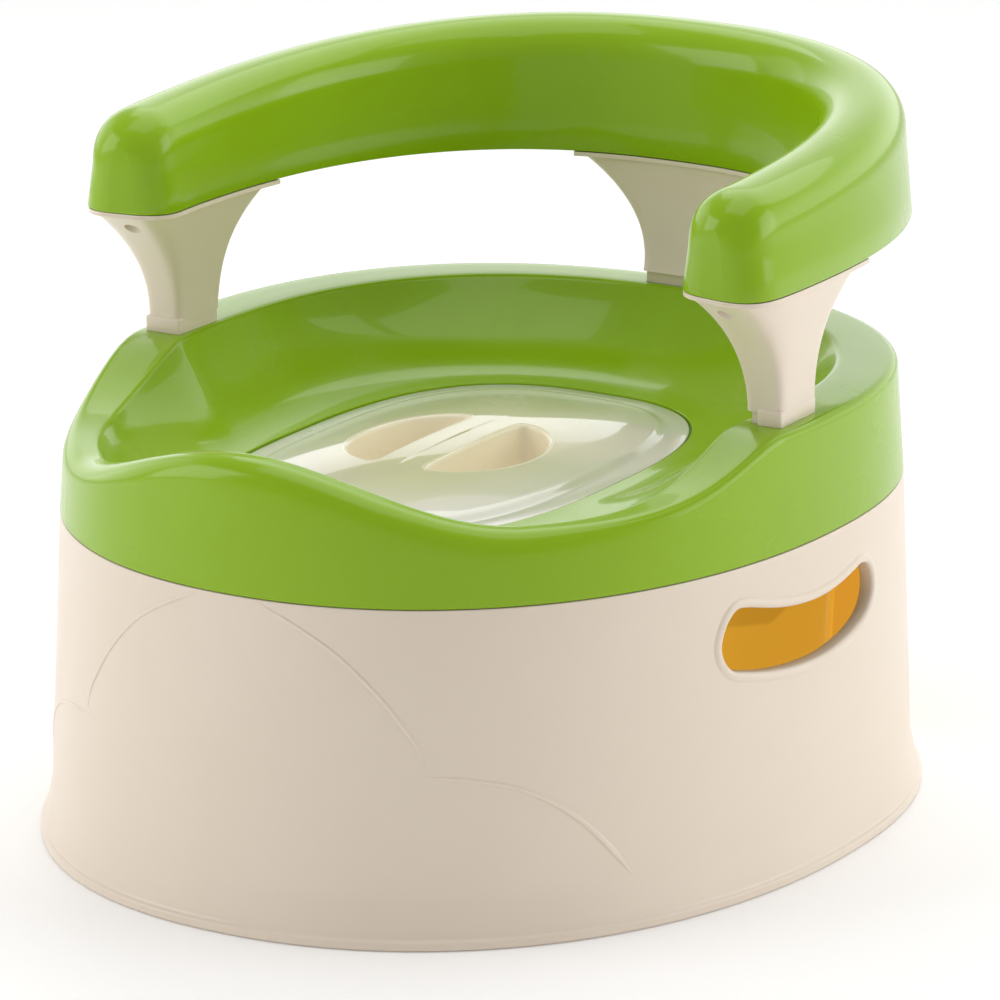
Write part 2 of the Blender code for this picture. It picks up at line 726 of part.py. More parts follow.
def hoop_top(y):
    low = RIM_Z + HOOP_BOTTOM_RISE + ARM_HEIGHT
    high = RIM_Z + HOOP_BOTTOM_RISE - HOOP_BOTTOM_FALL + BACK_HEIGHT
    return low + (high - low) * rearness(y)


def end_share(room, power=END_POWER):
    """How much of its full width the channel has at a distance from its end."""
    if room >= END_ROUND:
        return 1.0
    return (1 - ((END_ROUND - max(room, TIP)) / END_ROUND) ** power) ** (1 / power)


def crown_height(path, distance, inset=0.0):
    """The height of the hoop's top at a distance, lower over the arms' round ends."""
    centre, _ = path.at(distance)
    room = min(distance, path.length - distance) - inset
    return hoop_top(centre.y) - inset - END_DROP * (1 - end_share(room, 2.0))


def channel_ring(path, distance, inset, drop):
    """The hoop's cross-section at a distance: straight drafted sides and a round crown."""
    centre, out = path.at(distance)
    room = min(distance, path.length - distance) - inset
    share = end_share(room)
    half = (CHANNEL_HALF - inset) * share
    draft = HOOP_DRAFT * share
    low = hoop_bottom(centre.y) - drop
    high = crown_height(path, distance, inset)
    sill = high - CROWN_DEPTH + inset
    section = [(half, low)]
    for i in range(9):
        a = pi * i / 8
        rise = (high - sill) * sin(a) ** (2 / CROWN_POWER)
        section.append(((half - draft) * round_power(cos(a), CROWN_POWER), sill + rise))
    section.append((-half, low))
    return [(*(centre + out * side), z) for side, z in section]


def hoop_distances(path, inset):
    ends = [inset + step for step in (TIP, 0.002, 0.006, 0.012)]
    middle = [END_ROUND + (path.length - 2 * END_ROUND) * i / 26 for i in range(27)]
    return ends + middle + [path.length - d for d in reversed(ends)]


def hoop_solid(path, inset, drop):
    return skin([channel_ring(path, d, inset, drop) for d in hoop_distances(path, inset)])


def screw_places(path):
    """Each screw's name, distance along the path, plan point and the height of its plate's underside."""
    arm = path.distance_at_y(ARM_POST_Y)
    back = path.length / 2
    distances = {
        "right_a": arm - ARM_SCREW_FRONT,
        "right_b": arm + ARM_SCREW_REAR,
        "back_a": back - BACK_SCREW_OUT,
        "back_b": back + BACK_SCREW_OUT,
        "left_a": path.length - arm - ARM_SCREW_REAR,
        "left_b": path.length - arm + ARM_SCREW_FRONT,
    }
    for name, distance in distances.items():
        point, _ = path.at(distance)
        yield name, distance, point, hoop_bottom(point.y) - FIT - LIP


def build_hoop(path, material, chair):
    hoop = add_object("backrest_hoop", hoop_solid(path, 0.0, 0.0), material, chair)
    combine(hoop, add_cutter("hoop_hollow", hoop_solid(path, HOOP_WALL, 0.004), chair), "DIFFERENCE")
    bosses, bores = [], []
    for _, distance, point, plate in screw_places(path):
        foot = plate + LIP + 2 * FIT
        crown = min(crown_height(path, distance + step) for step in (-BOSS_RADIUS, 0, BOSS_RADIUS))
        head = crown - 0.6 * HOOP_WALL
        bosses.append(rod(point.x, point.y, foot, head, BOSS_RADIUS, 14))
        end = plate + SHANK_LENGTH + 0.001
        bores.append(rod(point.x, point.y, foot - 0.002, end, SHANK_RADIUS + FIT, 10))
    combine(hoop, add_cutter("hoop_bosses", merged(bosses), chair), "UNION")
    combine(hoop, add_cutter("hoop_bores", merged(bores), chair), "DIFFERENCE")


# ---- Posts ----


def grown(flare, level):
    """How much a (growth, power) flare adds at a level, 0 at the shoulder and 1 at the plate."""
    growth, power = flare
    return growth * level**power


def flare_ring(path, middle, toward_end, centre, level, count=20):
    """One level of a post, 0 at its shoulder and 1 at its plate, bent to the hoop's line."""
    anchor, out = path.at(middle)
    offset = (centre - anchor).dot(out) * (1 - level)
    half_width = FOOT_HALF_WIDTH + grown(FLARE_WIDTH, level)
    points = []
    for i in range(count):
        a = tau * (i + 0.5) / count
        nose = cos(a) * toward_end > 0
        flare = ARM_FLARE_FRONT if nose else ARM_FLARE_REAR if toward_end else BACK_FLARE
        power = FOOT_SQUARENESS - (FOOT_SQUARENESS - NOSE_SQUARENESS) * level * nose
        along = (FOOT_HALF_LENGTH + grown(flare, level)) * round_power(cos(a), power)
        spot, side = path.at(middle + along)
        plate = hoop_bottom(spot.y) - FIT - LIP / 2
        place = spot + side * (offset + half_width * round_power(sin(a), power))
        points.append((place.x, place.y, SHOULDER_Z + (plate - SHOULDER_Z) * level))
    return points


def plate_solid(path, first, last):
    """The thin plate under the hoop, with the hoop's own outline."""
    steps = [TIP, 0.0015, 0.004, 0.008, 0.013, END_ROUND]
    spots = [s for s in steps + [path.length - s for s in steps] if first <= s <= last]
    spots += [first + (last - first) * i / 8 for i in range(9)]
    spots = sorted({round(s, 5) for s in spots})
    over = []
    for word in (1, -1):
        for spot in spots[::word]:
            place, out = path.at(spot)
            half = (CHANNEL_HALF - FIT) * end_share(min(spot, path.length - spot))
            over.append((*(place + out * (word * half)), hoop_bottom(place.y) - FIT))
    return skin([[(x, y, z - LIP) for x, y, z in over], over])


def build_post(name, centre, along, path, material, chair):
    arm = path.distance_at_y(ARM_POST_Y)
    middle, toward_end, first, last = {
        "right": (arm, -1, TIP, arm + ARM_PLATE_REAR),
        "left": (path.length - arm, 1, path.length - arm - ARM_PLATE_REAR, path.length - TIP),
        "back": (path.length / 2, 0, path.length / 2 - BACK_PLATE_HALF, path.length / 2 + BACK_PLATE_HALF),
    }[name]
    levels = (0.0, 0.22, 0.42, 0.6, 0.75, 0.88, 1.0)
    flare = skin([flare_ring(path, middle, toward_end, centre, level) for level in levels])
    post = add_object(f"post_{name}", flare, material, chair)
    plate = add_cutter(f"post_{name}_plate", plate_solid(path, first, last), chair)
    tenon = foot_box(
        centre, along, TENON_HALF_LENGTH, TENON_HALF_WIDTH, RIM_Z - TENON_DEPTH, SHOULDER_Z + 0.002
    )
    combine(post, plate, "UNION")
    combine(post, add_cutter(f"post_{name}_tenon", tenon, chair), "UNION")
    holes = []
    for screw, _, point, under in screw_places(path):
        if not screw.startswith(name):
            continue
        holes.append(
            merged(
                [
                    rod(point.x, point.y, under - 0.02, under - HEAD_COVER, HEAD_RADIUS + FIT, 14),
                    rod(point.x, point.y, under - HEAD_COVER, under + 0.01, SHANK_RADIUS + FIT, 14),
                ]
            )
        )
    sunk = merged(holes)
    bmesh.ops.remove_doubles(sunk, verts=sunk.verts, dist=1e-7)
    combine(post, add_cutter(f"post_{name}_screw_holes", sunk, chair), "DIFFERENCE")


def screw_solid(length):
    """A pan-head screw pointing up from the seat of its head at z = 0."""
    profile = (
        (0.7 * HEAD_RADIUS, -HEAD_HEIGHT),
        (HEAD_RADIUS, -0.6 * HEAD_HEIGHT),
        (HEAD_RADIUS, 0.0),
        (SHANK_RADIUS, 0.0),
        (SHANK_RADIUS, length - 0.002),
        (0.4 * SHANK_RADIUS, length),
    )
    turns = [tau * i / 12 for i in range(12)]
    return skin([[(r * cos(a), r * sin(a), z) for a in turns] for r, z in profile])


def build_screws(path, material, chair):
    for name, _, point, under in screw_places(path):
        screw = add_object(f"hoop_screw_{name}", screw_solid(SHANK_LENGTH), material, chair)
        screw.location = (point.x, point.y, under - HEAD_COVER - FIT)


def build_chair():
    clear_scene()
    chair = bpy.data.objects.new("chair", None)
    bpy.context.scene.collection.objects.link(chair)
    chair.location = (0, CHAIR_Y, 0)
    green = make_material("green_plastic", GREEN, 0.25)
    cream = make_material("cream_plastic", CREAM, 0.35)
    path = HoopPath()
    build_tub(cream, chair)
    build_pads(make_material("rubber", RUBBER, 0.8), chair)
    build_drawer(make_material("yellow_plastic", YELLOW, 0.25), chair)
    build_seat(green, chair)
    build_lid(make_material("white_plastic", WHITE, 0.25), chair)
    build_hoop(path, green, chair)
    for name, centre, along in post_feet():
        build_post(name, centre, along, path, cream, chair)
    build_screws(path, make_material("zinc_steel", STEEL, 0.35, 1.0), chair)


build_chair()
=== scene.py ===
"""Looks of a potty training chair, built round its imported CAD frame.

Each sub-assembly is a class with its sizes as fields. Plan positions are measured from the tub's widest
section, as the maker's drawing does, and Workshop carries them to the CAD's own place. Metres, +Z up,
front at -Y.
"""

import logging  # noqa: E402
from collections.abc import Callable, Iterable, Sequence  # noqa: E402
from dataclasses import dataclass, field  # noqa: E402
from enum import Enum  # noqa: E402
from math import acos, atan2, copysign, cos, pi, radians, sin, tan, tau  # noqa: E402

import bmesh  # noqa: E402
import bpy  # noqa: E402
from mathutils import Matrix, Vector  # noqa: E402


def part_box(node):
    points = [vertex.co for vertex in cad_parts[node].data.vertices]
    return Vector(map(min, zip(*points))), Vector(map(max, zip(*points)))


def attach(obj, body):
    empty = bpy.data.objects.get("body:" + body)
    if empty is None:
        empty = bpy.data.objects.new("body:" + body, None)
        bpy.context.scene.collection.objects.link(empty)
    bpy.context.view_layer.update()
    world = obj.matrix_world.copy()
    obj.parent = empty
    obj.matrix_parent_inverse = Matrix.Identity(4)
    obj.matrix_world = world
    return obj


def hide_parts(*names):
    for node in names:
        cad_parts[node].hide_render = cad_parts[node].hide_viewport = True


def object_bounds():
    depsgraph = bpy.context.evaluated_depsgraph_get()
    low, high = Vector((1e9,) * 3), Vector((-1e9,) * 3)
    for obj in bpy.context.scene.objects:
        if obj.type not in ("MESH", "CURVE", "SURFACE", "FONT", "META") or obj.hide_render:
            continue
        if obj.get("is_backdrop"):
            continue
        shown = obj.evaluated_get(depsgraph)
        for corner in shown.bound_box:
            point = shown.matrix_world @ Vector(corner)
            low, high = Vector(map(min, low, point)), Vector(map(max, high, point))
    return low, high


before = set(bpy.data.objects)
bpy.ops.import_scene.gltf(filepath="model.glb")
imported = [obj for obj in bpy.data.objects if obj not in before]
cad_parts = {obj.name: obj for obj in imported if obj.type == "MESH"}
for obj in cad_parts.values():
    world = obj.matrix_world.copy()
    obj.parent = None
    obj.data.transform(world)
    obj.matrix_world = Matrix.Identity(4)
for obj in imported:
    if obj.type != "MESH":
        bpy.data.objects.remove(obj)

LOG = logging.getLogger("potty_chair")
CAD_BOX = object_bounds()

Ring = list[Vector]
Outline = list[Vector]
Colour = tuple[float, float, float]

FIT = 0.0003  # gap between pieces that touch
WALL = 0.0025
COLUMNS = 200  # points round the tub, the seat and the lid
SMOOTH = radians(32)  # faces that meet at less than this shade as one surface


class Ends(Enum):
    """How the two ends of a loft are finished."""

    OPEN = "open"
    FILLED = "filled"
    JOINED = "joined"


class Join(Enum):
    """What a cutter does to the piece it meets."""

    ADD = "UNION"
    TAKE = "DIFFERENCE"


class Body(Enum):
    """The moving bodies of the CAD frame."""

    CHAIR = "chair"
    DRAWER = "drawer"
    LID = "lid"


class Side(Enum):
    """The two sides of the chair, by the sign of X."""

    LEFT = -1
    RIGHT = 1

    @property
    def word(self) -> str:
        """The side's name as pieces use it."""
        return self.name.lower()


# ---- Small numbers work ----


def round_power(value: float, power: float) -> float:
    """Superellipse coordinate of a sine or cosine.

    Args:
        value: The sine or cosine.
        power: The superellipse's power; 2 is an ellipse.

    Returns:
        The sign of value with its size raised to 2 / power.
    """
    return copysign(abs(value) ** (2 / power), value)


def ease(value: float) -> float:
    """Clamps value to 0..1 and gives it level ends."""
    value = min(1.0, max(0.0, value))
    return value * value * (3 - 2 * value)


def mix(low: float, high: float, part: float) -> float:
    """The number a part of the way from low to high."""
    return low + (high - low) * part


def filleted(corners: Sequence[tuple[float, float, float]], steps: int = 5) -> list[tuple[float, float]]:
    """Rounds the corners of an open profile.

    Args:
        corners: (u, v, radius) of each corner in order.
        steps: Pieces that each round corner is cut in.

    Returns:
        The profile's points as (u, v).
    """
    points: list[tuple[float, float]] = []
    for index, (u, v, radius) in enumerate(corners):
        here = Vector((u, v))
        if not radius or index in (0, len(corners) - 1):
            points.append((u, v))
            continue
        before = Vector(corners[index - 1][:2]) - here
        after = Vector(corners[index + 1][:2]) - here
        reach = min(radius / tan(before.angle(after) / 2), 0.49 * before.length, 0.49 * after.length)
        start, end = here + before.normalized() * reach, here + after.normalized() * reach
        for step in range(steps + 1):
            t = step / steps
            spot = start * (1 - t) ** 2 + here * (2 * t * (1 - t)) + end * t**2
            points.append((spot.x, spot.y))
    return points


def spline(knots: Sequence[tuple[float, float]], count: int, closed: bool) -> Outline:
    """A smooth line through knots, with its points spread evenly along it.

    Args:
        knots: The points that the line passes through, as (u, v).
        count: Points on the finished line.
        closed: True if the line comes back to its start.

    Returns:
        The line's points.
    """
    spots = [Vector(knot) for knot in knots]
    last = len(spots) if closed else len(spots) - 1
    fine: Outline = []
    for i in range(last):
        if closed:
            a, b, c, d = (spots[(i + k) % len(spots)] for k in (-1, 0, 1, 2))
        else:
            a, b, c, d = (spots[min(len(spots) - 1, max(0, i + k))] for k in (-1, 0, 1, 2))
        for step in range(16):
            t = step / 16
            curve = (2 * a - 5 * b + 4 * c - d) * t**2 + (3 * b - a - 3 * c + d) * t**3
            fine.append((2 * b + (c - a) * t + curve) / 2)
    fine.append(spots[0] if closed else spots[-1])
    marks = [0.0]
    for a, b in zip(fine, fine[1:]):
        marks.append(marks[-1] + (b - a).length)
    line: Outline = []
    index = 0
    for step in range(count):
        goal = marks[-1] * step / (count if closed else count - 1)
        while index < len(marks) - 2 and marks[index + 1] < goal:
            index += 1
        part = (goal - marks[index]) / max(1e-12, marks[index + 1] - marks[index])
        line.append(fine[index].lerp(fine[index + 1], min(1.0, part)))
    return line


def outward(outline: Outline) -> Outline:
    """The outward directions of an anticlockwise closed outline, one at each of its points."""
    found = []
    for i in range(len(outline)):
        ahead = (outline[(i + 1) % len(outline)] - outline[i - 1]).normalized()
        found.append(Vector((ahead.y, -ahead.x)))
    return found


def grow(outline: Outline, distance: float) -> Outline:
    """The outline moved outwards by a distance."""
    return [spot + out * distance for spot, out in zip(outline, outward(outline))]


# ---- Modelling, as by hand in edit mode ----


def deselect_all() -> None:
    """Leaves edit mode and deselects every object."""
    if bpy.context.mode != "OBJECT":
        bpy.ops.object.mode_set(mode="OBJECT")
    bpy.ops.object.select_all(action="DESELECT")


def pick(piece: bpy.types.Object) -> None:
    """Makes a piece the only selected object and the active one."""
    deselect_all()
    piece.select_set(True)
    bpy.context.view_layer.objects.active = piece


def face_outward(piece: bpy.types.Object) -> None:
    """Turns all of a piece's faces outwards."""
    pick(piece)
    bpy.ops.object.mode_set(mode="EDIT")
    bpy.ops.mesh.select_all(action="SELECT")
    bpy.ops.mesh.normals_make_consistent(inside=False)
    bpy.ops.object.mode_set(mode="OBJECT")


def select_points(piece: bpy.types.Object, indices: Iterable[int]) -> None:
    """Selects only the given points of a piece that is in edit mode."""
    bpy.ops.mesh.select_all(action="DESELECT")
    bm = bmesh.from_edit_mesh(piece.data)
    bm.verts.ensure_lookup_table()
    for index in indices:
        bm.verts[index].select_set(True)
    bm.select_flush(True)
    bmesh.update_edit_mesh(piece.data)


def place_ring(piece: bpy.types.Object, ring: Ring, before: dict[int, int] | None) -> dict[int, int]:
    """Moves the selected ring of points to its places.

    Args:
        piece: The piece, in edit mode.
        ring: Where the points go.
        before: Each point of the ring it was extruded from, as its index and its step, or None for the
            first ring.

    Returns:
        Each moved point's index and its step round the ring.
    """
    bm = bmesh.from_edit_mesh(piece.data)
    bm.verts.index_update()
    placed: dict[int, int] = {}
    for vert in bm.verts:
        if not vert.select:
            continue
        step = vert.index
        if before is not None:
            others = [edge.other_vert(vert) for edge in vert.link_edges]
            step = next(before[other.index] for other in others if not other.select)
        vert.co = ring[step]
        placed[vert.index] = step
    bmesh.update_edit_mesh(piece.data)
    return placed


def loft(name: str, rings: Sequence[Ring], ends: Ends = Ends.FILLED) -> bpy.types.Object:
    """Extrudes a circle from ring to ring.

    Args:
        name: The piece's name.
        rings: The rings in order, each with the same number of points.
        ends: How the first and the last ring are finished.

    Returns:
        The new piece, its faces pointing outwards.
    """
    deselect_all()
    bpy.ops.mesh.primitive_circle_add(vertices=len(rings[0]), radius=WALL)
    piece = bpy.context.active_object
    piece.name = piece.data.name = name
    bpy.ops.object.mode_set(mode="EDIT")
    bpy.ops.mesh.select_mode(type="VERT")
    bpy.ops.mesh.select_all(action="SELECT")
    first = ring = place_ring(piece, rings[0], None)
    for goal in [*rings[1:], *([rings[0]] if ends is Ends.JOINED else [])]:
        bpy.ops.mesh.extrude_region()
        ring = place_ring(piece, goal, ring)
    if ends is Ends.FILLED:
        for loop in (ring, first):
            select_points(piece, loop)
            bpy.ops.mesh.edge_face_add()
    if ends is Ends.JOINED:
        select_points(piece, [*first, *ring])
        bpy.ops.mesh.remove_doubles(threshold=1e-7)
    if ends is not Ends.OPEN:
        bpy.ops.mesh.select_all(action="SELECT")
        bpy.ops.mesh.normals_make_consistent(inside=False)
    bpy.ops.object.mode_set(mode="OBJECT")
    return piece


def block(name: str, low: Vector, high: Vector) -> bpy.types.Object:
    """A box cut from a cube between two corners, for joining to or taking from a piece."""
    deselect_all()
    bpy.ops.mesh.primitive_cube_add(size=1.0, location=(low + high) / 2, scale=high - low)
    piece = bpy.context.active_object
    piece.name = name
    bpy.ops.object.transform_apply(location=True, rotation=True, scale=True)
    return piece


def disc_rings(centre: Vector, profile: Sequence[tuple[float, float]], count: int) -> list[Ring]:
    """Rings of a turned shape.

    Args:
        centre: The plan point of its axis.
        profile: (radius, z) from one end to the other.
        count: Points round each ring.

    Returns:
        One ring for each point of the profile.
    """
    turns = [tau * i / count for i in range(count)]
    return [[Vector((centre.x + r * cos(a), centre.y + r * sin(a), z)) for a in turns] for r, z in profile]


def join(piece: bpy.types.Object, other: bpy.types.Object, how: Join) -> None:
    """Adds a solid to a piece or takes it from the piece, and removes the solid."""
    pick(piece)
    change = piece.modifiers.new(other.name, "BOOLEAN")
    change.operation = how.value
    change.solver = "EXACT"
    change.object = other
    bpy.ops.object.modifier_apply(modifier=change.name)
    bpy.data.objects.remove(other, do_unlink=True)


def soften(piece: bpy.types.Object, width: float, angle: float, segments: int = 3) -> None:
    """Rounds the edges of a piece that are sharper than an angle."""
    pick(piece)
    bevel = piece.modifiers.new("edges", "BEVEL")
    bevel.width, bevel.segments, bevel.angle_limit = width, segments, angle
    bevel.use_clamp_overlap = True
    bpy.ops.object.modifier_apply(modifier=bevel.name)


@dataclass
class Workshop:
    """Places finished pieces in the CAD frame and remembers them."""

    offset_y: float
    made: list[bpy.types.Object] = field(default_factory=list)

    def settle(
        self,
        piece: bpy.types.Object,
        body: Body,
        material: bpy.types.Material,
        nodes: Sequence[str] = (),
        smooth: float = SMOOTH,
    ) -> bpy.types.Object:
        """Carries a piece from the drawing's plan to the frame, dresses it and hangs it on its body.

        Args:
            piece: The finished mesh.
            body: The CAD body that it moves with.
            material: Its finish.
            nodes: The CAD nodes that it stands for.
            smooth: The angle up to which its faces shade as one surface.

        Returns:
            The same piece.
        """
        pick(piece)
        bpy.ops.transform.translate(value=(0.0, self.offset_y, 0.0))
        bpy.ops.object.transform_apply(location=True, rotation=True, scale=True)
        bpy.ops.object.shade_smooth_by_angle(angle=smooth)
        piece.data.materials.clear()
        piece.data.materials.append(material)
        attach(piece, body.value)
        if nodes:
            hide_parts(*nodes)
        self.made.append(piece)
        return piece


# ---- Finishes ----


@dataclass(frozen=True)
class MouldedPlastic:
    """Injection-moulded plastic: a gloss skin on a faintly uneven colour, with fine grain and rub marks."""

    name: str
    colour: Colour
    shade: Colour  # the colour where the melt ran thinner
    roughness: tuple[float, float]
    specular: float
    coat: float
    coat_roughness: float
    grain: float  # size of the fine grain's bumps
    sway: float  # size of the slow waves that sink marks leave
    subsurface: float = 0.0
    glow: Colour | None = None  # painted light: the yellow tint toward the middle of the thin lid that stands for the pot's light showing through
    painted_tint_centre: tuple[float, float, float] = (0.0, 0.0, 0.0)
    painted_tint_reach: tuple[float, float] = (0.02, 0.08)
    even_painted_glow: float = 0.0  # painted glow: an even emission that stands for light a thin cup picks up through its wall
    lit_through: float = 0.0  # painted glow: emission that stands for light the thin side walls of a translucent pot let through
    painted_shadow_y: float = 0.055  # where the painted shadow of the slot's rim reaches lowest
    painted_shadow_slope: float = 0.22
    painted_shadow_z: tuple[float, float] = (0.0745, 0.0765)
    painted_shadow_share: float = 0.74

    def material(self) -> bpy.types.Material:
        """Builds the node material."""
        material = bpy.data.materials.new(self.name)
        material.use_nodes = True
        tree = material.node_tree
        shader = tree.nodes["Principled BSDF"]
        shader.inputs["Specular IOR Level"].default_value = self.specular
        shader.inputs["Coat Weight"].default_value = self.coat
        shader.inputs["Coat Roughness"].default_value = self.coat_roughness
        shader.inputs["Subsurface Weight"].default_value = self.subsurface
        shader.inputs["Subsurface Radius"].default_value = (0.004, 0.003, 0.002)
        shader.inputs["Subsurface Scale"].default_value = 1.0
        place = tree.nodes.new("ShaderNodeTexCoord").outputs["Object"]
        cloud = noise(tree, place, 11.0, 3.0)
        skin = blend(tree, ramp(tree, cloud, 0.35, 0.65, 0.0, 1.0), rgba(self.shade), rgba(self.colour))
        # Painted light: the lid's middle is tinted yellow for the pot's light showing through.
        if self.glow is not None:
            skin = blend(tree, self._painted_tint_nearness(tree, place), skin, rgba(self.glow))
        worn = ramp(tree, noise(tree, place, 38.0, 5.0), 0.66, 0.86, 0.0, 0.10)
        pale = tuple(0.75 * c + 0.25 for c in self.colour)
        tree.links.new(blend(tree, worn, skin, rgba(pale)), shader.inputs["Base Color"])
        # Painted glow: emission in the skin's colour stands for light coming through the wall.
        if self.even_painted_glow:
            tree.links.new(skin, shader.inputs["Emission Color"])
            shader.inputs["Emission Strength"].default_value = self.even_painted_glow
        # Painted glow: emission in the skin's colour stands for light shining through the pot's walls.
        if self.lit_through:
            tree.links.new(skin, shader.inputs["Emission Color"])
            tree.links.new(self._painted_wall_glow_strength(tree, place), shader.inputs["Emission Strength"])
        rub = ramp(tree, noise(tree, place, 23.0, 4.0), 0.42, 0.78, self.roughness[0], self.roughness[1])
        tree.links.new(rub, shader.inputs["Roughness"])
        slow = bump(tree, noise(tree, place, 17.0, 1.0), self.sway, 0.002, None)
        fine = bump(tree, noise(tree, place, 1500.0, 2.0), self.grain, 0.0002, slow)
        tree.links.new(fine, shader.inputs["Normal"])
        return material

    def _painted_wall_glow_strength(self, tree: bpy.types.NodeTree, place: bpy.types.NodeSocket) -> bpy.types.NodeSocket:
        """How brightly the walls glow with painted light that stands for light let through.

        Args:
            tree: The material's nodes.
            place: Object coordinates.

        Returns:
            The strength: dimmer above a shallow V, a painted shadow of the slot's rim, and none on rear
                faces.
        """
        split = tree.nodes.new("ShaderNodeSeparateXYZ")
        tree.links.new(place, split.inputs[0])
        # Painted shadow: the glow dims above a shallow V that stands for the shadow of the slot's rim.
        across = worked_out(tree, "SUBTRACT", split.outputs["Y"], self.painted_shadow_y)
        slope = worked_out(tree, "MULTIPLY", worked_out(tree, "ABSOLUTE", across, 0.0), -self.painted_shadow_slope)
        level = worked_out(tree, "ADD", slope, split.outputs["Z"])
        dim = self.painted_shadow_share * self.lit_through
        shade = ramp(tree, level, self.painted_shadow_z[0], self.painted_shadow_z[1], self.lit_through, dim)
        facing = tree.nodes.new("ShaderNodeSeparateXYZ")
        tree.links.new(tree.nodes.new("ShaderNodeNewGeometry").outputs["Normal"], facing.inputs[0])
        rear = ramp(tree, facing.outputs["Y"], 0.3, 0.7, 1.0, 0.0)
        return worked_out(tree, "MULTIPLY", shade, rear)

    def _painted_tint_nearness(self, tree: bpy.types.NodeTree, place: bpy.types.NodeSocket) -> bpy.types.NodeSocket:
        """1 at the painted tint's centre, falling to 0 at its reach."""
        shift = tree.nodes.new("ShaderNodeVectorMath")
        shift.operation = "SUBTRACT"
        tree.links.new(place, shift.inputs[0])
        shift.inputs[1].default_value = self.painted_tint_centre
        squeeze = tree.nodes.new("ShaderNodeVectorMath")
        squeeze.operation = "MULTIPLY"
        tree.links.new(shift.outputs[0], squeeze.inputs[0])
        squeeze.inputs[1].default_value = (1.0, 0.62, 0.0)
        length = tree.nodes.new("ShaderNodeVectorMath")
        length.operation = "LENGTH"
        tree.links.new(squeeze.outputs[0], length.inputs[0])
        return ramp(tree, length.outputs["Value"], self.painted_tint_reach[0], self.painted_tint_reach[1], 1.0, 0.0)


@dataclass(frozen=True)
class PlatedSteel:
    """Bright zinc plating with a fine brushed grain and a few dull spots."""

    name: str
    colour: Colour
    dull: Colour
    roughness: tuple[float, float]

    def material(self) -> bpy.types.Material:
        """Builds the node material."""
        material = bpy.data.materials.new(self.name)
        material.use_nodes = True
        tree = material.node_tree
        shader = tree.nodes["Principled BSDF"]
        shader.inputs["Metallic"].default_value = 1.0
        place = tree.nodes.new("ShaderNodeTexCoord").outputs["Object"]
        spots = ramp(tree, noise(tree, place, 700.0, 3.0), 0.45, 0.7, 0.0, 1.0)
        tree.links.new(blend(tree, spots, rgba(self.colour), rgba(self.dull)), shader.inputs["Base Color"])
        brushed = noise(tree, turned(tree, place, (0, 0, 0), (1.0, 1.0, 9.0)), 900.0, 2.0)
        rough = ramp(tree, brushed, 0.3, 0.7, self.roughness[0], self.roughness[1])
        tree.links.new(rough, shader.inputs["Roughness"])
        tree.links.new(bump(tree, brushed, 0.2, 0.0001, None), shader.inputs["Normal"])
        return material


@dataclass(frozen=True)
class SoftRubber:
    """Matt grey rubber with a pebbled skin and floor dust."""

    name: str
    colour: Colour
    dust: Colour

    def material(self) -> bpy.types.Material:
        """Builds the node material."""
        material = bpy.data.materials.new(self.name)
        material.use_nodes = True
        tree = material.node_tree
        shader = tree.nodes["Principled BSDF"]
        shader.inputs["Specular IOR Level"].default_value = 0.25
        place = tree.nodes.new("ShaderNodeTexCoord").outputs["Object"]
        dust = ramp(tree, noise(tree, place, 260.0, 4.0), 0.48, 0.66, 0.0, 0.8)
        tree.links.new(blend(tree, dust, rgba(self.colour), rgba(self.dust)), shader.inputs["Base Color"])
        pebbles = noise(tree, place, 2600.0, 2.0)
        tree.links.new(ramp(tree, pebbles, 0.3, 0.7, 0.65, 0.9), shader.inputs["Roughness"])
        tree.links.new(bump(tree, pebbles, 0.5, 0.0002, None), shader.inputs["Normal"])
        return material


def rgba(colour: Sequence[float]) -> tuple[float, float, float, float]:
    """A colour with full cover."""
    return (colour[0], colour[1], colour[2], 1.0)


def noise(
    tree: bpy.types.NodeTree, place: bpy.types.NodeSocket, scale: float, detail: float
) -> bpy.types.NodeSocket:
    """A noise pattern's grey value."""
    node = tree.nodes.new("ShaderNodeTexNoise")
    node.inputs["Scale"].default_value = scale
    node.inputs["Detail"].default_value = detail
    tree.links.new(place, node.inputs["Vector"])
    return node.outputs["Fac"]


def turned(
    tree: bpy.types.NodeTree, place: bpy.types.NodeSocket, angles: Sequence[float], scale: Sequence[float]
) -> bpy.types.NodeSocket:
    """Coordinates turned by angles and stretched by a scale."""
    node = tree.nodes.new("ShaderNodeMapping")
    node.inputs["Rotation"].default_value = tuple(angles)
    node.inputs["Scale"].default_value = tuple(scale)
    tree.links.new(place, node.inputs["Vector"])
    return node.outputs["Vector"]


def ramp(
    tree: bpy.types.NodeTree,
    value: bpy.types.NodeSocket,
    from_low: float,
    from_high: float,
    to_low: float,
    to_high: float,
) -> bpy.types.NodeSocket:
    """Maps a value smoothly from one range to another.

    Args:
        tree: The material's nodes.
        value: The value to map.
        from_low: Where the value's range starts.
        from_high: Where the value's range ends.
        to_low: The result at from_low and below.
        to_high: The result at from_high and above.

    Returns:
        The mapped value's socket.
    """
    node = tree.nodes.new("ShaderNodeMapRange")
    node.interpolation_type = "SMOOTHSTEP"
    limits = {"From Min": from_low, "From Max": from_high, "To Min": to_low, "To Max": to_high}
    for name, number in limits.items():
        node.inputs[name].default_value = number
    tree.links.new(value, node.inputs["Value"])
    return node.outputs["Result"]


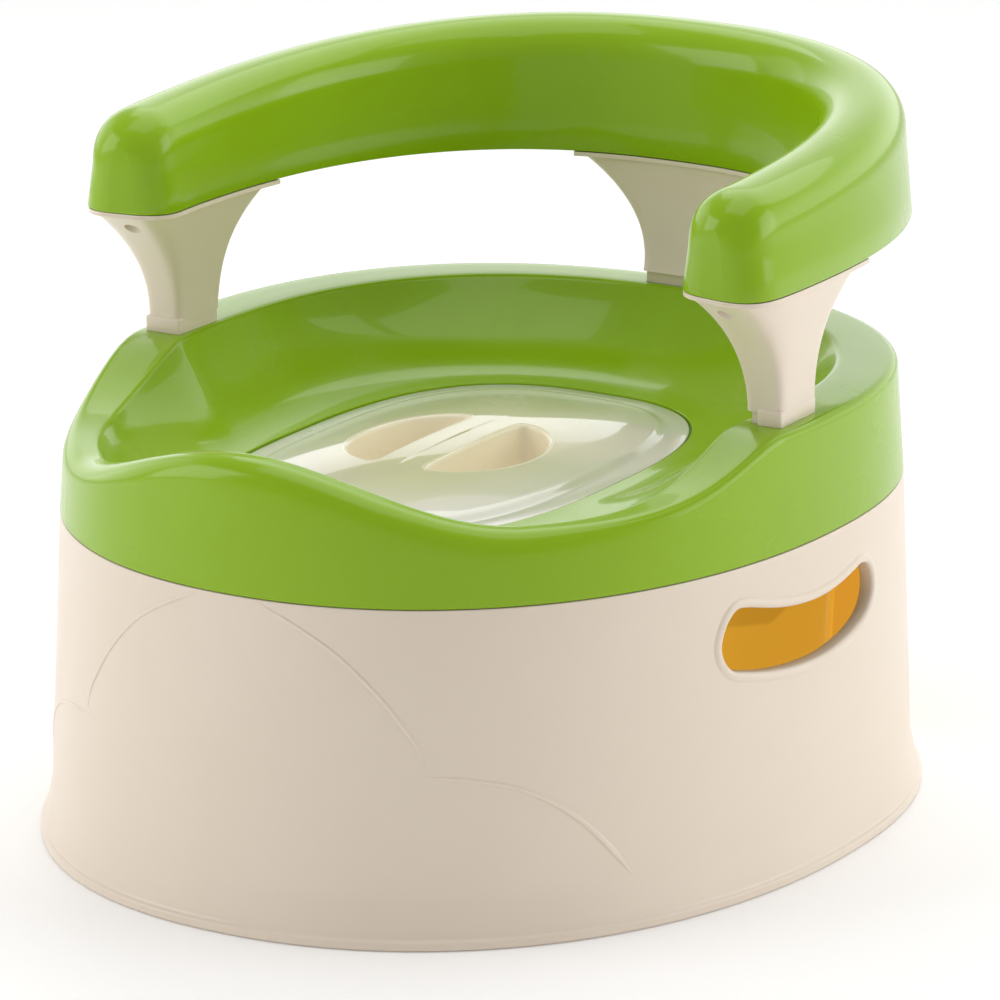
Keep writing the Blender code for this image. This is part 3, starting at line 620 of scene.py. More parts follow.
def blend(
    tree: bpy.types.NodeTree,
    factor: bpy.types.NodeSocket,
    first: bpy.types.NodeSocket | Sequence[float],
    second: bpy.types.NodeSocket | Sequence[float],
) -> bpy.types.NodeSocket:
    """Mixes two colours by a factor.

    Args:
        tree: The material's nodes.
        factor: 0 for the first colour and 1 for the second.
        first: A colour or a socket.
        second: A colour or a socket.

    Returns:
        The mixed colour's socket.
    """
    node = tree.nodes.new("ShaderNodeMix")
    node.data_type = "RGBA"
    tree.links.new(factor, node.inputs[0])
    for socket, source in ((node.inputs[6], first), (node.inputs[7], second)):
        if isinstance(source, bpy.types.NodeSocket):
            tree.links.new(source, socket)
        else:
            socket.default_value = tuple(source)
    return node.outputs[2]


def worked_out(
    tree: bpy.types.NodeTree,
    operation: str,
    first: bpy.types.NodeSocket,
    second: bpy.types.NodeSocket | float,
) -> bpy.types.NodeSocket:
    """One step of arithmetic between a socket and another socket or a number."""
    node = tree.nodes.new("ShaderNodeMath")
    node.operation = operation
    tree.links.new(first, node.inputs[0])
    if isinstance(second, bpy.types.NodeSocket):
        tree.links.new(second, node.inputs[1])
    else:
        node.inputs[1].default_value = second
    return node.outputs[0]


def bump(
    tree: bpy.types.NodeTree,
    height: bpy.types.NodeSocket,
    strength: float,
    distance: float,
    under: bpy.types.NodeSocket | None,
) -> bpy.types.NodeSocket:
    """A bump on top of another one, as a normal."""
    node = tree.nodes.new("ShaderNodeBump")
    node.inputs["Strength"].default_value = strength
    node.inputs["Distance"].default_value = distance
    tree.links.new(height, node.inputs["Height"])
    if under is not None:
        tree.links.new(under, node.inputs["Normal"])
    return node.outputs["Normal"]


@dataclass
class Finishes:
    """The chair's finishes, each made once."""

    lid_centre: tuple[float, float, float]

    def __post_init__(self) -> None:
        """Builds every material."""
        self.green = MouldedPlastic(
            "apple_green_gloss",
            colour=(0.272, 0.468, 0.006),
            shade=(0.260, 0.448, 0.004),
            roughness=(0.22, 0.29),
            specular=0.22,
            coat=0.32,
            coat_roughness=0.03,
            grain=0.03,
            sway=0.03,
        ).material()
        self.cream = MouldedPlastic(
            "cream_satin",
            colour=(0.800, 0.692, 0.572),
            shade=(0.785, 0.676, 0.554),
            roughness=(0.32, 0.42),
            specular=0.40,
            coat=0.12,
            coat_roughness=0.10,
            grain=0.06,
            sway=0.04,
        ).material()
        self.yellow = MouldedPlastic(
            "pot_yellow_gloss",
            colour=(0.62, 0.345, 0.034),
            shade=(0.60, 0.333, 0.030),
            roughness=(0.22, 0.30),
            specular=0.3,
            coat=0.3,
            coat_roughness=0.03,
            grain=0.03,
            sway=0.03,
            # painted glow on the pot's walls, for light seen through the slots
            lit_through=0.74,
        ).material()
        self.milky = MouldedPlastic(
            "milky_lid",
            colour=(0.72, 0.71, 0.62),
            shade=(0.69, 0.68, 0.58),
            roughness=(0.22, 0.30),
            specular=0.35,
            coat=0.9,
            coat_roughness=0.025,
            grain=0.02,
            sway=0.02,
            subsurface=0.12,
            # painted light: a yellow tint in the lid's middle for the pot's light showing through
            glow=(0.66, 0.62, 0.37),
            painted_tint_centre=self.lid_centre,
        ).material()
        # The recess cups: the milky lid's colour made warmer and brighter, plus an even glow, as painted
        # light from the yellow pot beneath.
        self.recess = MouldedPlastic(
            "milky_recess_painted_light",
            colour=(0.80, 0.73, 0.56),
            shade=(0.78, 0.71, 0.54),
            roughness=(0.22, 0.30),
            specular=0.35,
            coat=0.5,
            coat_roughness=0.03,
            grain=0.02,
            sway=0.02,
            even_painted_glow=0.16,
        ).material()
        self.zinc = PlatedSteel("zinc_plate", (0.62, 0.62, 0.64), (0.42, 0.42, 0.43), (0.22, 0.42)).material()
        self.rubber = SoftRubber("grey_rubber", (0.42, 0.42, 0.40), (0.62, 0.60, 0.56)).material()


# ---- The chair's plan ----


def egg(
    half_width: float,
    front: float,
    back: float,
    nose: float,
    tail: float,
    station_y: float = 0.0,
    count: int = COLUMNS,
) -> Outline:
    """A closed plan outline, anticlockwise from the front.

    Args:
        half_width: Half the width at the widest section.
        front: Reach from the widest section to the front.
        back: Reach to the back.
        nose: Superellipse power of the front half.
        tail: Superellipse power of the back half.
        station_y: Y of the widest section.
        count: Points on the outline.

    Returns:
        The outline's plan points.
    """
    points = []
    for step in range(count):
        across, along = sin(tau * step / count), cos(tau * step / count)
        power, reach = (nose, front) if along > 0 else (tail, back)
        x, y = half_width * round_power(across, power), station_y - reach * round_power(along, power)
        points.append(Vector((x, y)))
    return points


@dataclass
class Plan:
    """The outline that the tub and the seat share, and the heights that everything hangs on."""

    seam_half_width: float
    seam_front: float = 0.1999
    seam_back: float = 0.1728
    nose_power: float = 2.12
    tail_power: float = 2.33
    spread_side: float = 0.0091
    spread_end: float = 0.0114
    seat_taper: float = 0.07
    base_height: float = 0.1354
    bead_top: float = 0.0040
    groove_top: float = 0.0052
    band_top: float = 0.0205
    rim_rise: float = 0.0476
    dish_rise: float = 0.0148
    ledge_depth: float = 0.0030

    @classmethod
    def from_frame(cls, tongue_height: float = 0.008) -> tuple["Plan", float]:
        """Reads the plan's size and place from the CAD tub.

        Args:
            tongue_height: How far the tub's tongue stands above the seam.

        Returns:
            The plan, and how far it lies from the drawing's origin along Y.
        """
        low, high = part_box("tub")
        plan = cls(seam_half_width=high.x - cls.spread_side, base_height=high.z - tongue_height)
        return plan, low.y + plan.seam_front + plan.spread_end

    @property
    def rim_z(self) -> float:
        """Height of the seat's rim."""
        return self.base_height + self.rim_rise

    @property
    def dish_z(self) -> float:
        """Height of the flat part of the dish."""
        return self.base_height + self.dish_rise

    @property
    def ledge_z(self) -> float:
        """Height of the ledge that the lid rests on."""
        return self.dish_z - self.ledge_depth

    @property
    def rim_half_width(self) -> float:
        """Half width of the seat at its rim."""
        return self.seam_half_width - self.seat_taper * self.rim_rise

    @property
    def rim_back(self) -> float:
        """Reach to the back of the seat at its rim."""
        return self.seam_back - self.seat_taper * self.rim_rise

    def spread_at(self, z: float) -> float:
        """How much of the foot's spread the tub has at a height."""
        shares = {self.bead_top: 1.0, self.groove_top: 0.82, self.band_top: 0.5, self.base_height: 0.0}
        levels = [(0.0, 1.0), *shares.items()]
        for (low, wide), (high, narrow) in zip(levels, levels[1:]):
            if z <= high:
                return mix(wide, narrow, (z - low) / (high - low))
        return 0.0

    def sizes(self, z: float, inset: float = 0.0, spread: float | None = None) -> tuple[float, float, float]:
        """Half width, front reach and back reach at a height, set in by inset."""
        share = self.spread_at(z) if spread is None else spread
        lean = inset + max(0.0, z - self.base_height) * self.seat_taper
        side, end = self.spread_side * share - lean, self.spread_end * share - lean
        return self.seam_half_width + side, self.seam_front + end, self.seam_back + end

    def ring(self, z: float, inset: float = 0.0, spread: float | None = None) -> Ring:
        """The shared outline at a height."""
        outline = egg(*self.sizes(z, inset, spread), self.nose_power, self.tail_power)
        return [Vector((spot.x, spot.y, z)) for spot in outline]

    def side_x(self, y: float, z: float) -> float:
        """The x of the right side at a y and a height."""
        half_width, front, back = self.sizes(z)
        power, reach = (self.nose_power, front) if y < 0 else (self.tail_power, back)
        return half_width * (1 - abs(y / reach) ** power) ** (1 / power)

    def front_y(self, x: float, z: float) -> float:
        """The y of the front at an x and a height."""
        half_width, front, _ = self.sizes(z)
        return -front * (1 - abs(x / half_width) ** self.nose_power) ** (1 / self.nose_power)

    def back_y(self, x: float, z: float) -> float:
        """The y of the back at an x and a height."""
        half_width, _, back = self.sizes(z)
        return back * (1 - abs(x / half_width) ** self.tail_power) ** (1 / self.tail_power)


def lip_rings(
    outline: Outline, section: Sequence[tuple[float, float]], place: Callable[[float, float, float], Vector]
) -> list[Ring]:
    """A rolled lip round an opening.

    Args:
        outline: The opening's edge, anticlockwise, as (along, up).
        section: The lip's closed section, as (distance from the edge, height above the wall).
        place: Gives the point at (along, up, height above the wall).

    Returns:
        One ring of the section at each point of the outline.
    """
    rings = []
    for spot, out in zip(outline, outward(outline)):
        rings.append([place(spot.x + out.x * r, spot.y + out.y * r, d) for r, d in section])
    return rings


# ---- Tub ----


@dataclass
class Tub:
    """The tapered tub: foot bead, band, relief lines, carrying slots with rolled lips, the drawer's way."""

    plan: Plan
    tongue_height: float = 0.008
    tongue_wall: float = 0.002
    shelf: tuple[float, float] = (0.012, 0.0145)
    shelf_width: float = 0.072
    inner_levels: tuple[float, float] = (0.09, 0.055)
    foot_lift: float = 0.0006
    foot_run: float = 0.0102  # what a full spread measures, for rounding the foot's profile
    slot_centre_y: float = -0.024
    slot_edge: tuple[tuple[float, float], ...] = (
        (-0.0472, 0.0945), (-0.0405, 0.0926), (-0.0299, 0.0903), (-0.0185, 0.0886), (-0.0062, 0.0875),
        (0.0072, 0.0870), (0.0169, 0.0874), (0.0272, 0.0886), (0.0380, 0.0906), (0.0480, 0.0940),
        (0.0538, 0.0985), (0.0562, 0.1040), (0.0554, 0.1100), (0.0517, 0.1145), (0.0455, 0.1160),
        (0.0390, 0.1149), (0.0281, 0.1128), (0.0178, 0.1116), (0.0082, 0.1112), (-0.0009, 0.1116),
        (-0.0095, 0.1124), (-0.0176, 0.1136), (-0.0253, 0.1152), (-0.0326, 0.1170), (-0.0396, 0.1186),
        (-0.0442, 0.1188), (-0.0482, 0.1163), (-0.0515, 0.1115), (-0.0534, 0.1050), (-0.0515, 0.0988),
    )
    slot_lip: tuple[tuple[float, float], ...] = (
        (0.0046, -0.0006), (0.0040, 0.0001), (0.0034, 0.0006), (0.0026, 0.0009), (0.0018, 0.0010),
        (0.0011, 0.0008), (0.0005, 0.0004), (0.0001, -0.0002), (0.0, -0.0009), (0.0, -0.0052),
        (0.0004, -0.0056), (0.0012, -0.0056), (0.0016, -0.0052), (0.0016, -0.0030), (0.0046, -0.0030),
    )
    relief_lines: tuple[tuple[tuple[float, float], ...], ...] = (
        (
            (0.0129, 0.1349), (0.0196, 0.1317), (0.0323, 0.1256), (0.0444, 0.1181), (0.0540, 0.1097),
            (0.0634, 0.0995), (0.0707, 0.0894), (0.0761, 0.0808), (0.0788, 0.0713),
        ),
        (
            (0.0770, 0.0694), (0.0815, 0.0689), (0.0926, 0.0674), (0.1046, 0.0641), (0.1147, 0.0577),
            (0.1229, 0.0492), (0.1309, 0.0362), (0.1375, 0.0209),
        ),
    )
    relief_width: float = 0.0008
    relief_height: float = 0.00042
    pad_places: tuple[tuple[str, float, float], ...] = (
        ("front_left", -0.105, -0.125), ("rear_left", -0.105, 0.105),
        ("front_right", 0.105, -0.125), ("rear_right", 0.105, 0.105),
    )
    pad_radius: float = 0.007
    pad_height: float = 0.003
    cup_radius: float = 0.0098
    rib_span: tuple[float, float] = (-0.10, 0.06)
    rib_width: float = 0.002
    rib_height: float = 0.012
    slot_play: float = 0.0012  # the hole in the wall is this much larger than the lip's inner edge
    cut_reach: float = 0.015  # how far a slot's cutter stands out of the wall on both sides
    way_span: tuple[float, float] = (0.1128, 0.22)
    way_half: float = 0.113
    way_top: float = 0.118
    way_corner: float = 0.006
    rib_x: float = 0.109

    def _foot(self) -> list[tuple[float, float]]:
        """The outer profile from the floor to the seam, as (spread, z)."""
        run, plan = self.foot_run, self.plan
        corners = [
            (0.90 * run, self.foot_lift, 0.0),
            (run, self.foot_lift, 0.0010),
            (run, plan.bead_top - 0.0002, 0.0011),
            (0.865 * run, plan.bead_top + 0.0006, 0.0004),
            (0.825 * run, plan.groove_top + 0.0002, 0.0006),
            (0.5 * run, plan.band_top, 0.030),
            (0.0, plan.base_height - 0.0001, 0.0006),
            (-0.12 * run, plan.base_height, 0.0),
        ]
        profile = filleted(corners, 6)
        return [(u / run, z) for u, z in profile]

    def _shell(self) -> bpy.types.Object:
        """The wall, the shelf for the drawer and the tongue, lofted as a closed loop of rings."""
        plan, base = self.plan, self.plan.base_height
        rings: list[Ring] = []
        profile = self._foot()
        for (share, z), (next_share, next_z) in zip(profile, profile[1:]):
            cuts = 9 if next_z - z > 0.03 else 1
            for cut in range(cuts):
                part = cut / cuts
                rings.append(plan.ring(mix(z, next_z, part), 0.0, mix(share, next_share, part)))
        rings.append(plan.ring(base, 0.0, profile[-1][0]))
        grip = WALL + FIT
        inner = grip + self.tongue_wall
        top = base + self.tongue_height
        rings += [plan.ring(base, grip), plan.ring(top - 0.0005, grip), plan.ring(top, grip + 0.0005)]
        rings += [plan.ring(top, inner - 0.0005), plan.ring(top - 0.0005, inner)]
        rings += [plan.ring(base - self.tongue_wall, inner)]
        inside = (base - 3 * self.tongue_wall, *self.inner_levels, plan.band_top, self.shelf[1])
        rings += [plan.ring(z, WALL) for z in inside]
        rings += [plan.ring(z, self.shelf_width) for z in reversed(self.shelf)]
        rings += [plan.ring(z, WALL) for z in (self.shelf[0], plan.bead_top, self.foot_lift)]
        return loft("tub", rings, Ends.JOINED)

    def _slot_place(self, side: Side) -> Callable[[float, float, float], Vector]:
        """Where a point of a slot's edge lies on the wall."""

        def place(along: float, up: float, height: float) -> Vector:
            """The point at (along, up), height above the wall."""
            y = self.slot_centre_y + along
            return Vector((side.value * (self.plan.side_x(y, up) + height), y, up))

        return place

    def _relief(self, name: str, line: Sequence[tuple[float, float]], side: Side) -> bpy.types.Object:
        """A fine raised line on the front, fading out at both ends.

        Args:
            name: The piece's name.
            line: The line's knots on the right side, as (x, z).
            side: The side that it goes on.

        Returns:
            The line's own solid, half sunk in the wall.
        """
        spots = spline(line, 60, closed=False)
        rings = []
        for i, spot in enumerate(spots):
            ahead = (spots[min(len(spots) - 1, i + 1)] - spots[max(0, i - 1)]).normalized()
            across = Vector((-ahead.y, ahead.x))
            fade = min(1.0, 6 * i / 59 + 0.12, 6 * (59 - i) / 59 + 0.12)
            ring = []
            for step in range(12):
                a = tau * step / 12
                flat = spot + across * (self.relief_width * fade * cos(a))
                lift = self.relief_height * fade * sin(a) if sin(a) > 0 else 0.0004 * sin(a)
                x = flat.x
                y = self.plan.front_y(x, flat.y)
                step_x = 0.0005
                ahead_y = self.plan.front_y(x + step_x, flat.y)
                behind_y = self.plan.front_y(x - step_x, flat.y)
                slope = (ahead_y - behind_y) / (2 * step_x)
                normal = Vector((slope, -1.0)).normalized()
                ring.append(Vector((side.value * (x + normal.x * lift), y + normal.y * lift, flat.y)))
            rings.append(ring)
        return loft(name, rings)

    def build(self, shop: Workshop, looks: Finishes) -> None:
        """Builds the tub, its lips and its relief lines.

        Args:
            shop: Where finished pieces are placed.
            looks: The chair's finishes.
        """
        plan = self.plan
        tub = self._shell()
        sunk = self.shelf[0] + WALL / 2
        for side in Side:
            near, far = sorted((side.value * self.rib_x, side.value * (self.rib_x + self.rib_width)))
            top = self.shelf[1] + self.rib_height
            rib = block("rib", Vector((near, self.rib_span[0], sunk)), Vector((far, self.rib_span[1], top)))
            join(tub, rib, Join.ADD)
        for _, x, y in self.pad_places:
            cup = [(self.cup_radius, self.foot_lift + FIT), (self.cup_radius, sunk)]
            join(tub, loft("cup", disc_rings(Vector((x, y)), cup, 40)), Join.ADD)
            wide = self.pad_radius + FIT
            recess = [(wide, -0.001), (wide, self.pad_height + FIT)]
            join(tub, loft("recess", disc_rings(Vector((x, y)), recess, 40)), Join.TAKE)
        edge = spline(self.slot_edge, 120, closed=True)
        lips = []
        for side in Side:
            place = self._slot_place(side)
            hole = grow(edge, self.slot_play)
            ends = (-self.cut_reach, self.cut_reach)
            rings = [[place(spot.x, spot.y, height) for spot in hole] for height in ends]
            join(tub, loft("slot", rings), Join.TAKE)
            lips.append(loft(f"slot_lip_{side.word}", lip_rings(edge, self.slot_lip, place), Ends.JOINED))
        join(tub, self._way_out(), Join.TAKE)
        shop.settle(tub, Body.CHAIR, looks.cream, ["tub"])
        for lip in lips:
            shop.settle(lip, Body.CHAIR, looks.cream, smooth=radians(60))
        for side in Side:
            for word, line in zip(("upper", "lower"), self.relief_lines):
                ridge = self._relief(f"relief_{word}_{side.word}", line, side)
                shop.settle(ridge, Body.CHAIR, looks.cream, smooth=radians(70))
        LOG.info("tub: foot height %.4f m, seam at %.4f m", plan.band_top, plan.base_height)

    def _way_out(self) -> bpy.types.Object:
        """The plug that cuts the drawer's way out of the back."""
        low = self.shelf[1] - 0.0005
        x, z = self.way_half - self.way_corner, self.way_top - self.way_corner
        turns = [pi / 2 * i / 8 for i in range(9)]
        corner = [(x + self.way_corner * cos(a), z + self.way_corner * sin(a)) for a in turns]
        mirrored = [(-u, v) for u, v in reversed(corner)]
        outline = [(-self.way_half, low), (self.way_half, low), *corner, *mirrored]
        return loft("way_out", [[Vector((u, y, v)) for u, v in outline] for y in self.way_span])


# ---- Rubber pads ----


@dataclass
class RubberPads:
    """The four rubber pads under the tub."""

    tub: Tub
    edge: float = 0.0006

    def build(self, shop: Workshop, looks: Finishes) -> None:
        """Builds one pad in each recess.

        Args:
            shop: Where finished pieces are placed.
            looks: The chair's finishes.
        """
        radius, height = self.tub.pad_radius, self.tub.pad_height
        corners = [
            (0.0015, 0.0, 0.0), (radius, 0.0, self.edge), (radius, height, self.edge), (0.0015, height, 0.0),
        ]
        for word, x, y in self.tub.pad_places:
            pad = loft(f"rubber_pad_{word}.look", disc_rings(Vector((x, y)), filleted(corners, 4), 40))
            shop.settle(pad, Body.CHAIR, looks.rubber, [f"rubber_pad_{word}"])
        LOG.info("rubber pads: %d", len(self.tub.pad_places))


# ---- Pot drawer ----


@dataclass
class PotDrawer:
    """The yellow pot: a deep tray, a deck, and a curved rear panel with a pull."""

    plan: Plan
    side_room: float = 0.0529
    front_room: float = 0.035
    back_room: float = 0.045
    station_y: float = -0.02
    bottom: float = 0.0148
    below_seam: float = 0.0184
    wall: float = 0.0022
    draft: float = 0.003
    sole_width: float = 0.010
    sole_round: float = 0.007
    floor_width: float = 0.05
    floor_round: float = 0.014
    nose_power: float = 3.0
    tail_power: float = 10.0
    panel_overlap: float = 0.004
    corner: float = 0.006
    pull_half_length: float = 0.042
    pull_half_height: float = 0.0115
    pull_sag: float = 0.005
    pull_below_top: float = 0.034
    pull_play: float = 0.0008  # the hole in the panel is this much larger than the lip's inner edge
    cut_reach: float = 0.02
    pull_lip: tuple[tuple[float, float], ...] = (
        (0.0032, -0.0005), (0.0026, 0.0), (0.0018, 0.0002), (0.0010, 0.0001), (0.0004, -0.0003),
        (0.0, -0.0009), (0.0, -0.0050), (0.0012, -0.0050), (0.0014, -0.0026), (0.0032, -0.0026),
    )

    @property
    def top(self) -> float:
        """Height of the pot's rim."""
        return self.plan.base_height - self.below_seam

    def _ring(self, z: float, inset: float = 0.0) -> Ring:
        """The tray's outline at a height."""
        lean = inset + self.draft * (self.top - z) / (self.top - self.bottom)
        sizes = (
            self.plan.seam_half_width - self.side_room - lean,
            self.plan.seam_front - self.front_room + self.station_y - lean,
            self.plan.seam_back - self.back_room - self.station_y - lean,
        )
        outline = egg(*sizes, self.nose_power, self.tail_power, self.station_y, 176)
        return [Vector((spot.x, spot.y, z)) for spot in outline]

    def _tray(self) -> bpy.types.Object:
        """The tray with a round sole, a round rim and a round floor edge."""
        floor, top, wall = self.bottom + self.wall, self.top, self.wall
        sole = [(self.sole_width, self.bottom, 0), (0.0, self.bottom, self.sole_round), (0.0, top, 0)]
        outer = filleted(sole, 6)
        half = wall / 2
        rim = [(half - half * cos(a), top - half + half * sin(a)) for a in (pi * i / 8 for i in range(9))]
        bowl = [(wall, top - wall, 0), (wall, floor, self.floor_round), (wall + self.floor_width, floor, 0)]
        inner = filleted(bowl, 7)
        profile = outer[:-1] + rim + inner
        return loft("pot_drawer.look", [self._ring(z, inset) for inset, z in profile])

    def _panel(self) -> bpy.types.Object:
        """The curved rear panel with round upper corners, flush with the tub's back."""
        half = self.plan.seam_half_width - self.side_room + self.panel_overlap
        middle = half - self.corner
        straight = [middle * (i / 28 - 1) for i in range(57)]
        turns = [pi / 2 * i / 6 for i in range(1, 7)]
        corner = [(middle + self.corner * sin(a), self.corner * (1 - cos(a))) for a in turns]
        columns = [(-x, drop) for x, drop in reversed(corner)] + [(x, 0.0) for x in straight] + corner
        rings = []
        for x, drop in columns:
            high = self.top - drop
            heights = [self.bottom, self.plan.band_top]
            heights += [mix(self.plan.band_top, high, i / 6) for i in range(1, 6)] + [high - 0.0006]
            outer = [Vector((x, self.plan.back_y(x, z), z)) for z in heights]
            top_y = self.plan.back_y(x, high)
            outer.append(Vector((x, top_y - 0.0006, high)))
            inner = [Vector((x, spot.y - self.wall, spot.z)) for spot in reversed(outer[:-1])]
            rings.append([*outer, Vector((x, top_y - self.wall, high)), *inner])
        return loft("panel", rings)

    def _deck(self) -> bpy.types.Object:
        """The deck between the tray and the panel."""
        front = self.plan.seam_back - self.back_room - 0.6 * self.wall
        low = self.top - self.wall
        half = self.plan.seam_half_width - self.side_room + self.panel_overlap - self.corner
        rings = []
        for i in range(41):
            x = half * 0.93 * (i / 20 - 1)
            rear = self.plan.back_y(x, self.top) - 0.5 * self.wall
            spots = ((front, low), (rear, low), (rear, self.top - 0.0001), (front, self.top - 0.0001))
            rings.append([Vector((x, y, z)) for y, z in spots])
        return loft("deck", rings)

    def _pull_edge(self) -> Outline:
        """The pull's smile-shaped edge, as (along, up), anticlockwise seen from behind."""
        middle_z = self.top - self.pull_below_top
        knots = []
        straight = self.pull_half_length - self.pull_half_height
        for i in range(9):
            knots.append((mix(-straight, straight, i / 8), -self.pull_half_height))
        for a in (pi / 4, pi / 2, 3 * pi / 4):
            knots.append((straight + self.pull_half_height * sin(a), -self.pull_half_height * cos(a)))
        knots += [(-u, -v) for u, v in knots]
        raised = []
        for u, v in knots:
            sag = self.pull_sag * ((u / self.pull_half_length) ** 2 - 0.5)
            raised.append((u, v + middle_z + sag))
        return spline(raised, 112, closed=True)

    def build(self, shop: Workshop, looks: Finishes) -> None:
        """Builds the pot and the lip of its pull.

        Args:
            shop: Where finished pieces are placed.
            looks: The chair's finishes.
        """

        def place(along: float, up: float, height: float) -> Vector:
            """The point at (along, up), height behind the panel's face."""
            return Vector((along, self.plan.back_y(along, up) + height, up))

        pot = self._tray()
        join(pot, self._deck(), Join.ADD)
        join(pot, self._panel(), Join.ADD)
        edge = self._pull_edge()
        hole = grow(edge, self.pull_play)
        ends = (-self.cut_reach, self.cut_reach)
        plug = loft("pull", [[place(spot.x, spot.y, height) for spot in hole] for height in ends])
        join(pot, plug, Join.TAKE)
        lip = loft("pull_lip", lip_rings(edge, self.pull_lip, place), Ends.JOINED)
        shop.settle(pot, Body.DRAWER, looks.yellow, ["pot_drawer"])
        shop.settle(lip, Body.DRAWER, looks.yellow, smooth=radians(60))
        LOG.info("pot drawer: rim at %.4f m", self.top)


# ---- Seat ----


@dataclass
class PostFoot:
    """Where a post stands on the seat."""

    name: str
    centre: Vector
    along: Vector


@dataclass
class Seat:
    """The moulded seat: skirt, swept rim with thigh dips and splash guard, dish, ledge and chute."""

    plan: Plan
    splash_rise: float = 0.0050
    thigh_drop: float = 0.0195
    thigh_angle: float = radians(36)
    rim_angle: float = radians(78)
    sweep_power: float = 2.0
    land_side: float = 0.0195
    land_back: float = 0.0155
    land_front: float = 0.004
    edge_side: float = 0.0034  # radius of the rim's outer edge beside the child
    edge_front: float = 0.0085  # the same over the splash guard
    inner_side: float = 0.0045
    inner_front: float = 0.0060
    guard_end: float = radians(70)  # past this turn the rim's edges are the side's, not the guard's
    guard_fade: float = radians(45)
    steepest: float = radians(62)  # the dish's steepest fall
    lid_half_width: float = 0.0760
    lid_reach: float = 0.1167
    lid_power: float = 2.77
    lid_y: float = -0.0293
    well_gap: float = 0.0012  # how far the dish ends outside the lid's outline
    brim_gap: float = 0.0009  # the same for the step down to the ledge
    chute_edge: float = 0.0008
    chute_lean: float = 0.001
    hem: float = 0.0004  # chamfer at the skirt's foot
    ledge_width: float = 0.0085
    chute_depth: float = 0.0260
    arm_post_y: float = -0.014
    arm_post_in: float = 0.0151
    back_post_in: float = 0.0115
    tenon: tuple[float, float, float] = (0.0125, 0.0060, 0.012)
    clearance: float = 0.0004
    socket_wall: float = 0.002

    def crest(self, turn: float) -> float:
        """Height of the rim at an angle from the front."""
        low = self.plan.rim_z - self.thigh_drop
        if turn < self.thigh_angle:
            wave = 0.5 + 0.5 * cos(pi * turn / self.thigh_angle)
            return low + (self.thigh_drop + self.splash_rise) * wave
        part = (turn - self.thigh_angle) / (self.rim_angle - self.thigh_angle)
        return low + self.thigh_drop * ease(max(0.0, part) ** self.sweep_power)

    def land(self, turn: float) -> float:
        """Width of the rim's flat top at an angle from the front."""
        if turn < pi / 2:
            part = (turn - self.thigh_angle) / (self.rim_angle - self.thigh_angle)
            return mix(self.land_front, self.land_side, ease(part))
        return mix(self.land_side, self.land_back, ease((turn - pi / 2) / (pi / 2)))

    def lid_outline(self, inset: float = 0.0) -> Outline:
        """The lid's plan outline, set in by inset."""
        reach = self.lid_reach - inset
        return egg(self.lid_half_width - inset, reach, reach, self.lid_power, self.lid_power, self.lid_y)

    def _point(self, step: int, z: float, inset: float) -> Vector:
        """A point of the skirt's outline at a height, set in by inset."""
        across, along = sin(tau * step / COLUMNS), cos(tau * step / COLUMNS)
        half_width, front, back = self.plan.sizes(z, inset)
        power, reach = (self.plan.nose_power, front) if along > 0 else (self.plan.tail_power, back)
        return Vector((half_width * round_power(across, power), -reach * round_power(along, power), z))

    def _column(self, step: int, outlines: dict[float, Outline]) -> Ring:
        """One column of the upper surface, from the foot of the skirt to the foot of the chute.

        Args:
            step: The column's number round the seat, from the front.
            outlines: The lid's outline at each inset that the ledge and the chute use.

        Returns:
            The column's points in order.
        """
        plan = self.plan
        start = self._point(step, plan.rim_z, 0.0)
        turn = acos(max(-1.0, min(1.0, -start.y / (start.x**2 + start.y**2) ** 0.5)))
        top, flat = self.crest(turn), self.land(turn)
        ahead = ease((self.guard_end - turn) / self.guard_fade)
        edge = mix(self.edge_side, self.edge_front, ahead)
        curl = mix(self.inner_side, self.inner_front, ahead)
        bottom = plan.base_height + FIT
        shoulder = top - edge
        hem = bottom + self.hem
        points = [self._point(step, bottom, self.hem), self._point(step, hem, 0.0)]
        points += [self._point(step, mix(hem, shoulder, i / 6), 0.0) for i in range(1, 7)]
        for i in range(1, 9):
            a = pi / 2 * i / 8
            points.append(self._point(step, shoulder + edge * sin(a), edge * (1 - cos(a))))
        rim = edge + flat
        points += [self._point(step, top, mix(edge, rim, part)) for part in (0.33, 0.66, 1.0)]
        brink = self._point(step, top, rim)
        well = Vector((*outlines[-self.well_gap][step], plan.dish_z))
        drop = top - plan.dish_z
        inward = Vector((well.x - brink.x, well.y - brink.y, 0.0))
        run = inward.length
        inward.normalize()
        fall = min(self.steepest, atan2(drop, min(0.42 * run, 0.80 * drop)))
        for i in range(1, 7):
            a = fall * i / 6
            points.append(brink + inward * (curl * sin(a)) - Vector((0, 0, curl * (1 - cos(a)))))
        high = points[-1]
        foot = (high.z - plan.dish_z) / tan(fall)
        knee = Vector((high.x, high.y, plan.dish_z)) + inward * min(foot, 0.8 * (well - high).xy.length)
        for i in range(1, 19):
            t = i / 18
            points.append(high * (1 - t) ** 2 + knee * (2 * t * (1 - t)) + well * t**2)
        levels = (
            (-self.brim_gap, plan.dish_z - 0.0004),
            (-self.brim_gap, plan.ledge_z),
            (self.ledge_width, plan.ledge_z),
            (self.ledge_width + self.chute_edge, plan.ledge_z - self.chute_edge),
            (self.ledge_width + self.chute_lean, plan.ledge_z - self.chute_depth),
        )
        return points + [Vector((*outlines[inset][step], z)) for inset, z in levels]

